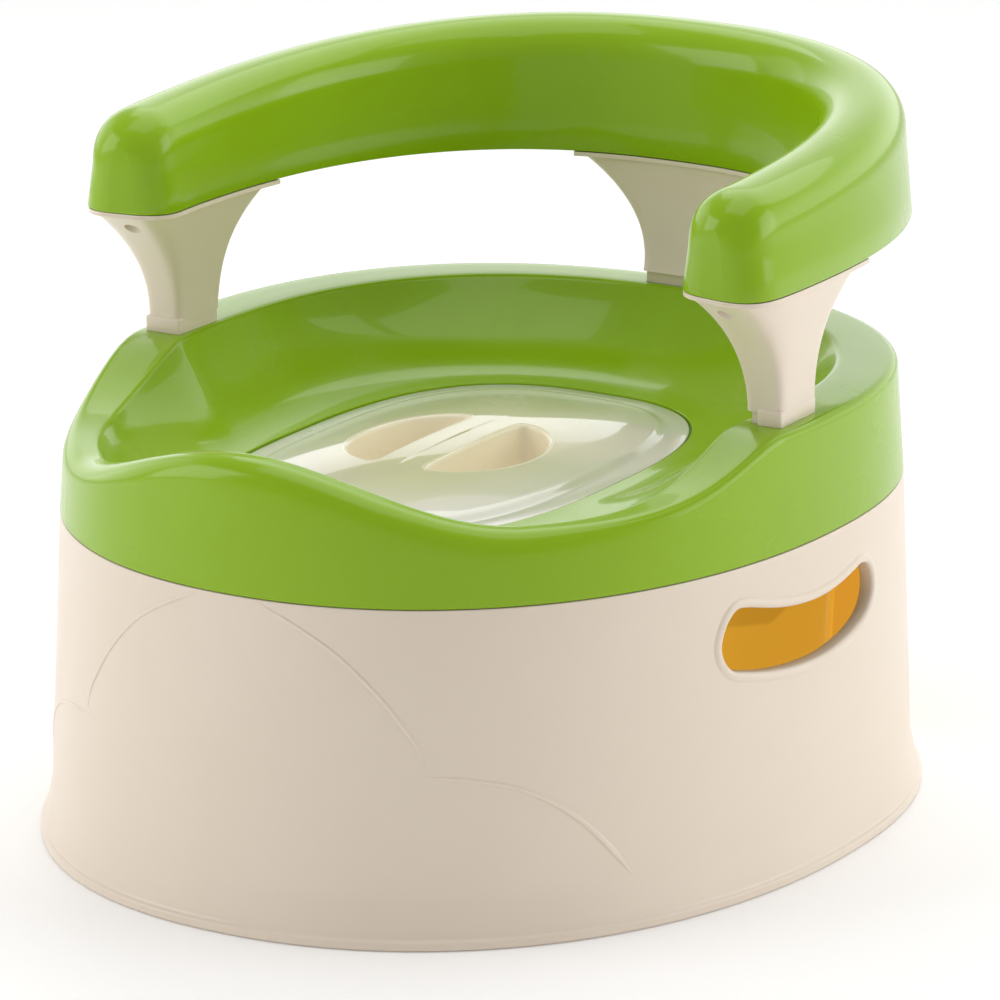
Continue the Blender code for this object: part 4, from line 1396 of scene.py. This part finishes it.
    def feet(self) -> tuple[PostFoot, PostFoot, PostFoot]:
        """The posts' feet: left, right and back."""
        arm_x = self.plan.rim_half_width - self.arm_post_in
        return (
            PostFoot("left", Vector((-arm_x, self.arm_post_y)), Vector((0, 1))),
            PostFoot("right", Vector((arm_x, self.arm_post_y)), Vector((0, 1))),
            PostFoot("back", Vector((0, self.plan.rim_back - self.back_post_in)), Vector((1, 0))),
        )

    def foot_block(
        self, name: str, foot: PostFoot, extra: float, low: float, high: float
    ) -> bpy.types.Object:
        """A block over a post's foot.

        Args:
            name: The block's name.
            foot: The foot that it covers.
            extra: How far it reaches past the tenon all round.
            low: Height of its underside.
            high: Height of its top.

        Returns:
            The block.
        """
        length, width = self.tenon[0] + extra, self.tenon[1] + extra
        reach = Vector((length, width)) if foot.along.x else Vector((width, length))
        return block(name, Vector((*(foot.centre - reach), low)), Vector((*(foot.centre + reach), high)))

    def build(self, shop: Workshop, looks: Finishes) -> None:
        """Builds the seat with its sockets.

        Args:
            shop: Where finished pieces are placed.
            looks: The chair's finishes.
        """
        wide = self.ledge_width
        insets = (-self.well_gap, -self.brim_gap, wide, wide + self.chute_edge, wide + self.chute_lean)
        outlines = {inset: self.lid_outline(inset) for inset in insets}
        columns = [self._column(step, outlines) for step in range(COLUMNS)]
        seat = loft("seat.look", [list(ring) for ring in zip(*columns)], Ends.OPEN)
        face_outward(seat)
        crest = max(seat.data.polygons, key=lambda face: face.center.z)
        wall = seat.modifiers.new("wall", "SOLIDIFY")
        wall.thickness = WALL
        wall.offset = -1.0 if crest.normal.z > 0 else 1.0
        wall.use_even_offset = True
        wall.use_quality_normals = True
        bpy.ops.object.modifier_apply(modifier=wall.name)
        face_outward(seat)
        low = self.plan.rim_z - self.tenon[2] - WALL
        for foot in self.feet():
            around = self.clearance + self.socket_wall
            socket = self.foot_block("socket", foot, around, low, self.plan.rim_z - 0.001)
            join(seat, socket, Join.ADD)
            hole = self.foot_block("hole", foot, self.clearance, low - WALL, self.plan.rim_z + 0.005)
            join(seat, hole, Join.TAKE)
        shop.settle(seat, Body.CHAIR, looks.green, ["seat"])
        LOG.info("seat: rim at %.4f m", self.plan.rim_z)


# ---- Lid ----


@dataclass
class PotLid:
    """The lift-off lid: flat flange, stepped band, low crown and two half-moon recesses beside a grip bar."""

    plan: Plan
    seat: Seat
    thickness: float = 0.0024
    crown: float = 0.0085
    crown_power: float = 0.72
    skin: float = 0.0020
    lip: float = 0.0035
    lip_gap: float = 0.0008
    roll: float = 0.0020  # radius of the recesses' upper edges
    cup_inside: float = 0.0008
    cup_round: float = 0.004
    cup_flat: float = 0.0075
    band: tuple[float, float] = (0.0080, 0.0135)  # insets where the soft step to the crown starts and ends
    bar_half_width: float = 0.0115
    grip_half_length: float = 0.039
    grip_reach: float = 0.028
    grip_depth: float = 0.0205
    grip_y: float = -0.034

    @property
    def flange_z(self) -> float:
        """Height of the flange's top."""
        return self.plan.ledge_z + FIT + self.thickness

    def rise(self, x: float, y: float) -> float:
        """The crown's height above the flange at a plan point."""
        seat = self.seat
        across, along = abs(x / seat.lid_half_width), abs((y - seat.lid_y) / seat.lid_reach)
        reach = across**seat.lid_power + along**seat.lid_power
        return self.crown * (1 - min(1.0, reach) ** self.crown_power)

    def _ring(self, inset: float, drop: float) -> Ring:
        """A ring of the crown, lowered by drop."""
        outline = self.seat.lid_outline(inset)
        return [Vector((p.x, p.y, self.flange_z + self.rise(p.x, p.y) - drop)) for p in outline]

    def _level(self, inset: float, z: float) -> Ring:
        """A level ring."""
        return [Vector((p.x, p.y, z)) for p in self.seat.lid_outline(inset)]

    def _shell(self) -> bpy.types.Object:
        """The lid without its recesses."""
        low, top = self.plan.ledge_z + FIT, self.flange_z
        lip = self.seat.ledge_width + self.lip_gap
        rings = [self._level(0.0, low), self._level(0.0, top - 0.0010), self._level(0.0003, top - 0.0003)]
        rings += [self._level(0.0009, top), self._level(0.0072, top)]
        rings += [self._level(self.band[0], top + 0.0001)]
        rings += [self._blend(i / 5) for i in range(1, 6)]
        crown_width = 0.0605
        rings += [self._ring(self.band[1] + crown_width * (i / 22), 0.0) for i in range(23)]
        outer = loft("pot_lid.look", rings + [self._closing(0.0)], Ends.FILLED)
        hollow = [self._level(lip + self.skin, low - 0.02), self._level(lip + self.skin, low)]
        hollow += [self._ring(inset, self.skin) for inset in (0.016, 0.022, 0.030, 0.040, 0.052, 0.066)]
        hollow += [self._closing(self.skin)]
        rim = loft("lip", [self._level(lip, low - self.lip), self._level(lip, top - 0.0005)])
        join(outer, rim, Join.ADD)
        join(outer, loft("hollow", hollow), Join.TAKE)
        return outer

    def _closing(self, drop: float) -> Ring:
        """The small ring that closes the crown's middle."""
        return self._ring(self.seat.lid_half_width - 0.0008, drop)

    def _blend(self, part: float) -> Ring:
        """A ring of the soft step between the flange and the crown."""
        inset = mix(self.band[0], self.band[1], part)
        outline = self.seat.lid_outline(inset)
        soft = ease(part)
        return [Vector((p.x, p.y, self.flange_z + self.rise(p.x, p.y) * soft)) for p in outline]

    def _moon(self, side: Side, count: int = 120) -> Outline:
        """A half-moon recess's edge with small round corners, anticlockwise."""
        start, half, reach = self.bar_half_width, self.grip_half_length, self.grip_reach
        turns = [pi * (i / 40 - 0.5) for i in range(1, 40)]
        arc = [(start + reach * cos(a), self.grip_y + half * sin(a)) for a in turns]
        low, high = self.grip_y - half, self.grip_y + half
        straight = [(start, mix(high, low, i / 24)) for i in range(25)]
        raw = [Vector(spot) for spot in [(start, low), *arc, *straight[:-1]]]
        for _ in range(3):
            raw = [(raw[i - 1] + 2 * raw[i] + raw[(i + 1) % len(raw)]) / 4 for i in range(len(raw))]
        even = spline([tuple(spot) for spot in raw], count, closed=True)
        outline = [Vector((side.value * spot.x, spot.y)) for spot in even]
        return outline if side is Side.RIGHT else outline[::-1]

    def _cup(self, side: Side) -> bpy.types.Object:
        """A recess's cup, with an edge that rolls over from the crown into its wall.

        Args:
            side: The side of the grip bar that it lies on.

        Returns:
            The cup as one closed shell.
        """
        edge = self._moon(side)
        floor = self.flange_z + self.crown - self.grip_depth
        under = floor - self.skin
        out, inside, round_floor, flat = self.roll, self.cup_inside, self.cup_round, self.cup_flat

        def on_crown(distance: float, drop: float) -> Ring:
            """A ring on the crown, distance out from the edge."""
            top = self.flange_z - drop
            return [Vector((p.x, p.y, top + self.rise(p.x, p.y))) for p in grow(edge, distance)]

        def level(distance: float, z: float) -> Ring:
            """A level ring, distance out from the edge."""
            return [Vector((p.x, p.y, z)) for p in grow(edge, distance)]

        inner = [on_crown(out, 0.0012), on_crown(out, 0.00002)]
        for i in range(7):
            a = pi / 2 * i / 6
            inner.append(on_crown(out * (1 - sin(a)) - 0.0001 * i / 6, out * (1 - cos(a)) - 0.00004))
        wall_foot = floor + 1.5 * round_floor
        inner += [level(-inside, mix(wall_foot, self.flange_z, part)) for part in (0.75, 0.35, 0.0)]
        for i in range(1, 6):
            a = pi / 2 * i / 5
            inner.append(level(-inside - round_floor * (1 - cos(a)), floor + round_floor * (1 - sin(a))))
        inner.append(level(-flat, floor))
        outer = [level(-flat, under), level(-0.002, under), level(0.0010, under + 0.003)]
        outer += [level(0.0012, self.flange_z + 0.001), on_crown(out, 0.0016)]
        return loft(f"grip_cup_{side.word}", [*reversed(inner), *reversed(outer)])

    def build(self, shop: Workshop, looks: Finishes) -> None:
        """Builds the lid and the two cups of its recesses.

        Args:
            shop: Where finished pieces are placed.
            looks: The chair's finishes.
        """
        lid = self._shell()
        for side in Side:
            edge = grow(self._moon(side), 0.0012)
            low, high = self.flange_z - 0.004, self.flange_z + 0.02
            plug = loft("moon", [[Vector((p.x, p.y, z)) for p in edge] for z in (low, high)])
            join(lid, plug, Join.TAKE)
        shop.settle(lid, Body.LID, looks.milky, ["pot_lid"])
        for side in Side:
            cup = self._cup(side)
            shop.settle(cup, Body.LID, looks.recess, smooth=radians(50))
        LOG.info("lid: flange at %.4f m", self.flange_z)


# ---- Hoop and posts ----


@dataclass
class HoopPath:
    """The hoop's centre line, by distance from the right arm's end to the left arm's end."""

    plan: Plan
    overhang: float = 0.0045
    station_y: float = -0.029
    back: float = 0.223
    front: float = 0.200
    tail_power: float = 2.36
    arm_end_y: float = -0.065
    half: float = 0.021
    bottom_rise: float = 0.0590
    bottom_fall: float = 0.0050
    arm_height: float = 0.0400
    back_height: float = 0.0590
    end_round: float = 0.020
    end_power: float = 3.0
    end_drop: float = 0.014
    tip: float = 0.00015

    def __post_init__(self) -> None:
        """Walks the line once."""
        half_width = self.plan.rim_half_width + self.overhang - self.half
        front, back = self.front - self.half, self.back - self.half
        first = acos((self.station_y - self.arm_end_y) / front)
        self.points: Outline = []
        count = 1200
        for i in range(count + 1):
            turn = mix(first, tau - first, i / count)
            across, along = sin(turn), cos(turn)
            power, reach = (2.0, front) if along > 0 else (self.tail_power, back)
            x, y = half_width * round_power(across, power), self.station_y - reach * round_power(along, power)
            self.points.append(Vector((x, y)))
        self.marks = [0.0]
        for a, b in zip(self.points, self.points[1:]):
            self.marks.append(self.marks[-1] + (b - a).length)
        self.length = self.marks[-1]

    def at(self, distance: float) -> tuple[Vector, Vector]:
        """The point at a distance, and the direction out of the hoop there."""
        distance = min(self.length, max(0.0, distance))
        low, high = 0, len(self.marks) - 2
        while low < high:
            middle = (low + high + 1) // 2
            low, high = (middle, high) if self.marks[middle] <= distance else (low, middle - 1)
        a, b = self.points[low], self.points[low + 1]
        part = (distance - self.marks[low]) / (self.marks[low + 1] - self.marks[low])
        before, after = self.points[max(0, low - 3)], self.points[min(len(self.points) - 1, low + 4)]
        ahead = (after - before).normalized()
        return a.lerp(b, part), Vector((ahead.y, -ahead.x))

    def distance_at_y(self, y: float) -> float:
        """The first distance at which the line reaches y."""
        return self.marks[next(i for i, point in enumerate(self.points) if point.y >= y)]

    def rearness(self, y: float) -> float:
        """0 at the arms' ends and 1 at the back."""
        return (y - self.arm_end_y) / (self.station_y + self.back - self.arm_end_y)

    def bottom(self, y: float) -> float:
        """Height of the lower edge at a y."""
        return self.plan.rim_z + self.bottom_rise - self.bottom_fall * max(0.0, self.rearness(y)) ** 2

    def top(self, y: float) -> float:
        """Height of the crown at a y."""
        low = self.plan.rim_z + self.bottom_rise
        return mix(low + self.arm_height, low - self.bottom_fall + self.back_height, self.rearness(y))

    def end_share(self, room: float, power: float | None = None) -> float:
        """How much of its full width the channel has at a distance from its end."""
        if room >= self.end_round:
            return 1.0
        power = self.end_power if power is None else power
        return (1 - ((self.end_round - max(room, self.tip)) / self.end_round) ** power) ** (1 / power)

    def crown(self, distance: float, inset: float = 0.0) -> float:
        """Height of the hoop's top at a distance, lower over the arms' round ends."""
        centre, _ = self.at(distance)
        room = min(distance, self.length - distance) - inset
        return self.top(centre.y) - inset - self.end_drop * (1 - self.end_share(room, 2.0))


@dataclass
class Hoop:
    """The green hoop: backrest and armrests in one hollow rounded channel with six screw bosses inside."""

    path: HoopPath
    wall: float = 0.0025
    draft: float = 0.003
    crown_depth: float = 0.018
    crown_power: float = 2.3
    hem: float = 0.0009
    boss_radius: float = 0.0042

    def _ring(self, distance: float, inset: float, drop: float) -> Ring:
        """The cross-section at a distance."""
        path = self.path
        centre, out = path.at(distance)
        share = path.end_share(min(distance, path.length - distance) - inset)
        half, draft = (path.half - inset) * share, self.draft * share
        low, high = path.bottom(centre.y) - drop, path.crown(distance, inset)
        sill = high - self.crown_depth + inset
        hem = self.hem if inset == 0 else 0.0
        section = [(half - hem * share, low), (half - 0.3 * hem * share, low + 0.3 * hem), (half, low + hem)]
        section += [(half - draft * t, mix(low + hem, sill, t)) for t in (0.35, 0.7)]
        for i in range(33):
            a = pi * i / 32
            rise = (high - sill) * sin(a) ** (2 / self.crown_power)
            section.append(((half - draft) * round_power(cos(a), self.crown_power), sill + rise))
        section += [(-u, v) for u, v in reversed(section[:5])]
        return [Vector((*(centre + out * side), z)) for side, z in section]

    def _solid(self, name: str, inset: float, drop: float) -> bpy.types.Object:
        """The hoop's solid, set in by inset and lengthened downwards by drop."""
        path = self.path
        ends = [inset + path.tip]
        ends += [inset + path.end_round * (1 - cos(pi / 2 * i / 12)) for i in range(1, 12)]
        count = 150 if inset == 0 else 60
        first, last = path.end_round + inset, path.length - path.end_round - inset
        middle = [mix(first, last, i / count) for i in range(count + 1)]
        stations = ends + middle + [path.length - d for d in reversed(ends)]
        return loft(name, [self._ring(d, inset, drop) for d in stations])

    def build(self, shop: Workshop, looks: Finishes, screws: "Screws") -> None:
        """Builds the hoop with its hollow and its bosses.

        Args:
            shop: Where finished pieces are placed.
            looks: The chair's finishes.
            screws: The screws that its bosses take.
        """
        path = self.path
        hoop = self._solid("backrest_hoop.look", 0.0, 0.0)
        join(hoop, self._solid("hollow", self.wall, 0.004), Join.TAKE)
        for place in screws.places():
            foot = place.under + screws.plate + 2 * FIT
            spread = (-self.boss_radius, 0.0, self.boss_radius)
            head = min(path.crown(place.distance + step) for step in spread) - 0.6 * self.wall
            boss = disc_rings(place.point, [(self.boss_radius, foot), (self.boss_radius, head)], 24)
            join(hoop, loft("boss", boss), Join.ADD)
            ends = [(screws.shank, foot - 0.002), (screws.shank, place.under + 0.016)]
            bore = disc_rings(place.point, ends, 16)
            join(hoop, loft("bore", bore), Join.TAKE)
        shop.settle(hoop, Body.CHAIR, looks.green, ["backrest_hoop"])
        LOG.info("hoop: %.3f m along its centre line", path.length)


@dataclass
class ScrewPlace:
    """One screw: its name, its distance along the hoop, its plan point and its plate's underside."""

    name: str
    distance: float
    point: Vector
    under: float


@dataclass
class Screws:
    """The six pan-head screws that hold the hoop on its posts."""

    path: HoopPath
    arm_y: float
    arm_front: float = 0.0415
    arm_rear: float = 0.0280
    back_out: float = 0.0400
    head: float = 0.0031
    head_height: float = 0.0020
    shank: float = 0.0015
    length: float = 0.0150
    cover: float = 0.0010
    plate: float = 0.0018

    def places(self) -> list[ScrewPlace]:
        """Every screw's place."""
        path = self.path
        arm, back = path.distance_at_y(self.arm_y), path.length / 2
        distances = {
            "right_a": arm - self.arm_front,
            "right_b": arm + self.arm_rear,
            "back_a": back - self.back_out,
            "back_b": back + self.back_out,
            "left_a": path.length - arm - self.arm_rear,
            "left_b": path.length - arm + self.arm_front,
        }
        found = []
        for name, distance in distances.items():
            point, _ = path.at(distance)
            found.append(ScrewPlace(name, distance, point, path.bottom(point.y) - FIT - self.plate))
        return found

    def build(self, shop: Workshop, looks: Finishes) -> None:
        """Turns each screw, with a cross recess and a ribbed shank.

        Args:
            shop: Where finished pieces are placed.
            looks: The chair's finishes.
        """
        for place in self.places():
            seat = place.under - self.cover - FIT
            corners = [
                (0.0004, -self.head_height, 0.0), (0.7 * self.head, -self.head_height, 0.0006),
                (self.head, -0.55 * self.head_height, 0.0005), (self.head, 0.0, 0.0),
            ]
            profile = [(r, seat + z) for r, z in filleted(corners, 4)]
            for i in range(24):
                radius = self.shank * (1.0 if i % 2 else 0.82)
                profile.append((radius, seat + 0.0004 + (self.length - 0.003) * i / 23))
            profile.append((0.3 * self.shank, seat + self.length))
            screw = loft(f"hoop_screw_{place.name}.look", disc_rings(place.point, profile, 24))
            low = seat - self.head_height - 0.001
            for long, wide in ((0.0017, 0.0003), (0.0003, 0.0017)):
                reach = Vector((long, wide))
                near = Vector((*(place.point - reach), low))
                far = Vector((*(place.point + reach), low + 0.0022))
                join(screw, block("cross", near, far), Join.TAKE)
            shop.settle(screw, Body.CHAIR, looks.zinc, [f"hoop_screw_{place.name}"])
        LOG.info("screws: %d", len(self.places()))


@dataclass
class Posts:
    """The three cream posts: tenon, straight foot and a flare that opens to the hoop's full width."""

    path: HoopPath
    seat: Seat
    screws: Screws
    foot_half_length: float = 0.0155
    foot_half_width: float = 0.0085
    shoulder_rise: float = 0.0052
    arm_flare_front: tuple[float, float] = (0.037, 2.3)
    arm_flare_rear: tuple[float, float] = (0.0236, 3.4)
    back_flare: tuple[float, float] = (0.0375, 2.2)
    flare_width: tuple[float, float] = (0.0105, 1.7)
    foot_squareness: float = 7.0
    nose_squareness: float = 3.8
    arm_plate_rear: float = 0.040
    back_plate_half: float = 0.054
    sole_inset: dict[str, float] = field(default_factory=lambda: {"left": 0.0002, "right": 0.0062})
    sole_rear: float = 0.0016

    @property
    def shoulder_z(self) -> float:
        """Height of the posts' shoulders."""
        return self.seat.plan.rim_z + self.shoulder_rise

    def _ring(self, foot: PostFoot, middle: float, toward_end: int, level: float) -> Ring:
        """One level of a post, bent to the hoop's line.

        Args:
            foot: Where the post stands.
            middle: The distance along the hoop that it stands under.
            toward_end: 1 or -1 for the way to the arm's end along the hoop, and 0 for the back post.
            level: 0 at the post's shoulder and 1 at its plate.

        Returns:
            The ring's points.
        """
        path = self.path
        anchor, out = path.at(middle)
        offset = (foot.centre - anchor).dot(out) * (1 - level)
        half_width = self.foot_half_width + self.flare_width[0] * level ** self.flare_width[1]
        ring = []
        count = 72
        for i in range(count):
            a = tau * (i + 0.5) / count
            nose = cos(a) * toward_end > 0
            rear_flare = self.arm_flare_rear if toward_end else self.back_flare
            growth, late = self.arm_flare_front if nose else rear_flare
            power = self.foot_squareness - (self.foot_squareness - self.nose_squareness) * level * nose
            along = (self.foot_half_length + growth * level**late) * round_power(cos(a), power)
            spot, side = path.at(middle + along)
            plate = path.bottom(spot.y) - FIT - self.screws.plate / 2
            place = spot + side * (offset + half_width * round_power(sin(a), power))
            ring.append(Vector((place.x, place.y, mix(self.shoulder_z, plate, level))))
        return ring

    def _sole(self, foot: PostFoot) -> bpy.types.Object:
        """The arm post's sole, flush with its outer side and set in from the child's side."""
        inset = self.sole_inset[foot.name]
        side = copysign(1.0, foot.centre.x)
        inner = foot.centre.x + side * (inset - self.foot_half_width)
        outer = foot.centre.x + side * self.foot_half_width
        rear = self.foot_half_length - self.sole_rear
        front = foot.centre.y - self.foot_half_length
        low = Vector((min(inner, outer), front, self.seat.plan.rim_z - 0.0004))
        high = Vector((max(inner, outer), foot.centre.y + rear, self.shoulder_z + 0.0015))
        sole = block("sole", low, high)
        soften(sole, 0.0009, radians(30))
        return sole

    def _plate(self, first: float, last: float) -> bpy.types.Object:
        """The thin plate under the hoop, with the hoop's own outline."""
        path = self.path
        near = [path.end_round * (1 - cos(pi / 2 * i / 10)) + path.tip for i in range(11)]
        spots = {round(s, 5) for s in near + [path.length - s for s in near] if first <= s <= last}
        spots |= {round(mix(first, last, i / 24), 5) for i in range(25)}
        over: Ring = []
        for word in (1, -1):
            for spot in sorted(spots)[::word]:
                place, out = path.at(spot)
                half = (path.half - FIT) * path.end_share(min(spot, path.length - spot))
                edge = place + out * (word * half)
                over.append(Vector((edge.x, edge.y, path.bottom(place.y) - FIT)))
        down = Vector((0, 0, self.screws.plate))
        return loft("plate", [[spot - down for spot in over], over])

    def build(self, shop: Workshop, looks: Finishes) -> None:
        """Builds each post.

        Args:
            shop: Where finished pieces are placed.
            looks: The chair's finishes.
        """
        path, seat = self.path, self.seat
        arm, back = path.distance_at_y(seat.arm_post_y), path.length / 2
        spans = {
            "right": (arm, -1, path.tip, arm + self.arm_plate_rear),
            "left": (path.length - arm, 1, path.length - arm - self.arm_plate_rear, path.length - path.tip),
            "back": (back, 0, back - self.back_plate_half, back + self.back_plate_half),
        }
        for foot in seat.feet():
            middle, toward_end, first, last = spans[foot.name]
            levels = [i / 26 for i in range(27)]
            rings = [self._ring(foot, middle, toward_end, level) for level in levels]
            post = loft(f"post_{foot.name}.look", rings)
            deep = seat.plan.rim_z - seat.tenon[2]
            tenon = seat.foot_block("tenon", foot, 0.0, deep, self.shoulder_z + 0.002)
            join(post, tenon, Join.ADD)
            if foot.name != "back":
                join(post, self._sole(foot), Join.ADD)
            join(post, self._plate(first, last), Join.ADD)
            for place in self.screws.places():
                if place.name.startswith(foot.name):
                    head, shank = self.screws.head + FIT, self.screws.shank + FIT
                    seat_z = place.under - self.screws.cover
                    profile = [(head, place.under - 0.02), (head, seat_z)]
                    profile += [(shank, seat_z), (shank, place.under + 0.01)]
                    join(post, loft("screw_hole", disc_rings(place.point, profile, 32)), Join.TAKE)
            shop.settle(post, Body.CHAIR, looks.cream, [f"post_{foot.name}"])
        LOG.info("posts: %d", len(spans))


# ---- Studio ----


@dataclass
class Softbox:
    """An area light that looks at the chair."""

    name: str
    place: tuple[float, float, float]
    size: tuple[float, float]
    power: float
    target: tuple[float, float, float] = (0.0, 0.0, 0.12)

    def hang(self) -> None:
        """Adds the light."""
        light = bpy.data.lights.new(self.name, "AREA")
        light.shape = "RECTANGLE"
        light.size, light.size_y = self.size
        light.energy = self.power
        lamp = bpy.data.objects.new(self.name, light)
        bpy.context.scene.collection.objects.link(lamp)
        lamp.location = self.place
        lamp.rotation_mode = "QUATERNION"
        lamp.rotation_quaternion = (Vector(self.target) - Vector(self.place)).to_track_quat("-Z", "Y")


@dataclass
class Studio:
    """The pale floor, the soft lights and the camera."""

    azimuth: float = 31.0
    elevation: float = 16.24
    distance: float = 2.6
    target: tuple[float, float, float] = (0.0, -0.00635, 0.12)
    lens: float = 227.34
    shift: tuple[float, float] = (0.0276, 0.0183)
    floor_reach: float = 30.0
    floor_glow: float = 0.10
    world_low: float = 1.60
    world_high: float = 0.39

    def build(self) -> None:
        """Lays the floor and sets the lights and the camera."""
        self._floor()
        self._world()
        for softbox in (
            Softbox("left_softbox", (-1.42, -1.19, 0.87), (1.2, 1.4), 12.8),
            Softbox("left_rear_softbox", (-1.85, 0.06, 0.87), (1.2, 1.4), 4.0),
            Softbox("right_softbox", (1.70, 0.79, 0.80), (1.2, 1.4), 9.8),
            Softbox("back_softbox", (-0.2, 1.5, 1.9), (2.6, 1.3), 16.2),
            Softbox("top_softbox", (0.0, 0.1, 2.4), (1.8, 1.8), 14.6),
        ):
            softbox.hang()
        self._camera()
        LOG.info("studio ready")

    def _floor(self) -> None:
        """A wide pale floor."""
        deselect_all()
        bpy.ops.mesh.primitive_grid_add(x_subdivisions=8, y_subdivisions=8, size=2 * self.floor_reach)
        floor = bpy.context.active_object
        floor.name = "studio_floor"
        material = bpy.data.materials.new("pale_floor")
        material.use_nodes = True
        tree = material.node_tree
        shader = tree.nodes["Principled BSDF"]
        shader.inputs["Specular IOR Level"].default_value = 0.1
        shader.inputs["Roughness"].default_value = 0.6
        shader.inputs["Emission Color"].default_value = (1.0, 1.0, 1.0, 1.0)
        shader.inputs["Emission Strength"].default_value = self.floor_glow
        place = tree.nodes.new("ShaderNodeTexCoord").outputs["Object"]
        cloud = ramp(tree, noise(tree, place, 1.5, 2.0), 0.3, 0.7, 0.0, 1.0)
        pale, paler = rgba((0.94, 0.935, 0.93)), rgba((0.95, 0.945, 0.94))
        tree.links.new(blend(tree, cloud, pale, paler), shader.inputs["Base Color"])
        floor.data.materials.append(material)
        floor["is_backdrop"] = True

    def _world(self) -> None:
        """A surround that is bright near the horizon behind the chair and dim overhead and in front."""
        world = bpy.data.worlds.new("studio_world")
        bpy.context.scene.world = world
        world.use_nodes = True
        tree = world.node_tree
        background = tree.nodes["Background"]
        direction = tree.nodes.new("ShaderNodeTexCoord").outputs["Generated"]
        split = tree.nodes.new("ShaderNodeSeparateXYZ")
        tree.links.new(direction, split.inputs[0])
        behind = ramp(tree, split.outputs["Y"], -0.35, 0.75, 0.0, 1.0)
        low = ramp(tree, split.outputs["Z"], 0.15, 0.62, 1.0, 0.0)
        both = tree.nodes.new("ShaderNodeMath")
        both.operation = "MULTIPLY"
        tree.links.new(behind, both.inputs[0])
        tree.links.new(low, both.inputs[1])
        dim, bright = rgba((self.world_high,) * 3), rgba((self.world_low,) * 3)
        tree.links.new(blend(tree, both.outputs[0], dim, bright), background.inputs["Color"])
        background.inputs["Strength"].default_value = 1.0

    def _camera(self) -> None:
        """The camera, looking slightly down at the chair's front right."""
        azimuth, elevation = radians(self.azimuth), radians(self.elevation)
        back = Vector((sin(azimuth) * cos(elevation), -cos(azimuth) * cos(elevation), sin(elevation)))
        data = bpy.data.cameras.new("camera")
        camera = bpy.data.objects.new("camera", data)
        bpy.context.scene.collection.objects.link(camera)
        camera.location = Vector(self.target) + back * self.distance
        camera.rotation_mode = "QUATERNION"
        camera.rotation_quaternion = (-back).to_track_quat("-Z", "Y")
        data.lens, data.sensor_width = self.lens, 36.0
        data.shift_x, data.shift_y = self.shift
        data.clip_start, data.clip_end = 0.05, 100.0
        data.dof.use_dof = False
        scene = bpy.context.scene
        scene.camera = camera
        scene.view_settings.view_transform = "Standard"


def corners(box: tuple[Vector, Vector]) -> list[list[float]]:
    """A box's two corners as plain lists."""
    return [[float(value) for value in corner] for corner in box]


def main() -> None:
    """Builds the chair sub-assembly by sub-assembly and reports each piece."""
    logging.basicConfig(level=logging.INFO, format="%(name)s: %(message)s")
    plan, offset_y = Plan.from_frame()
    shop = Workshop(offset_y)
    seat = Seat(plan)
    looks = Finishes((0.0, seat.lid_y + offset_y, 0.0))
    tub = Tub(plan)
    path = HoopPath(plan)
    screws = Screws(path, seat.arm_post_y)
    tub.build(shop, looks)
    RubberPads(tub).build(shop, looks)
    PotDrawer(plan).build(shop, looks)
    seat.build(shop, looks)
    PotLid(plan, seat).build(shop, looks)
    Hoop(path).build(shop, looks, screws)
    Posts(path, seat, screws).build(shop, looks)
    screws.build(shop, looks)
    Studio().build()
    for piece in shop.made:
        LOG.info("%s: %d faces", piece.name, len(piece.data.polygons))
    deselect_all()
    corners(CAD_BOX)
    corners(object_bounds())


if __name__ == "__main__":
    main()
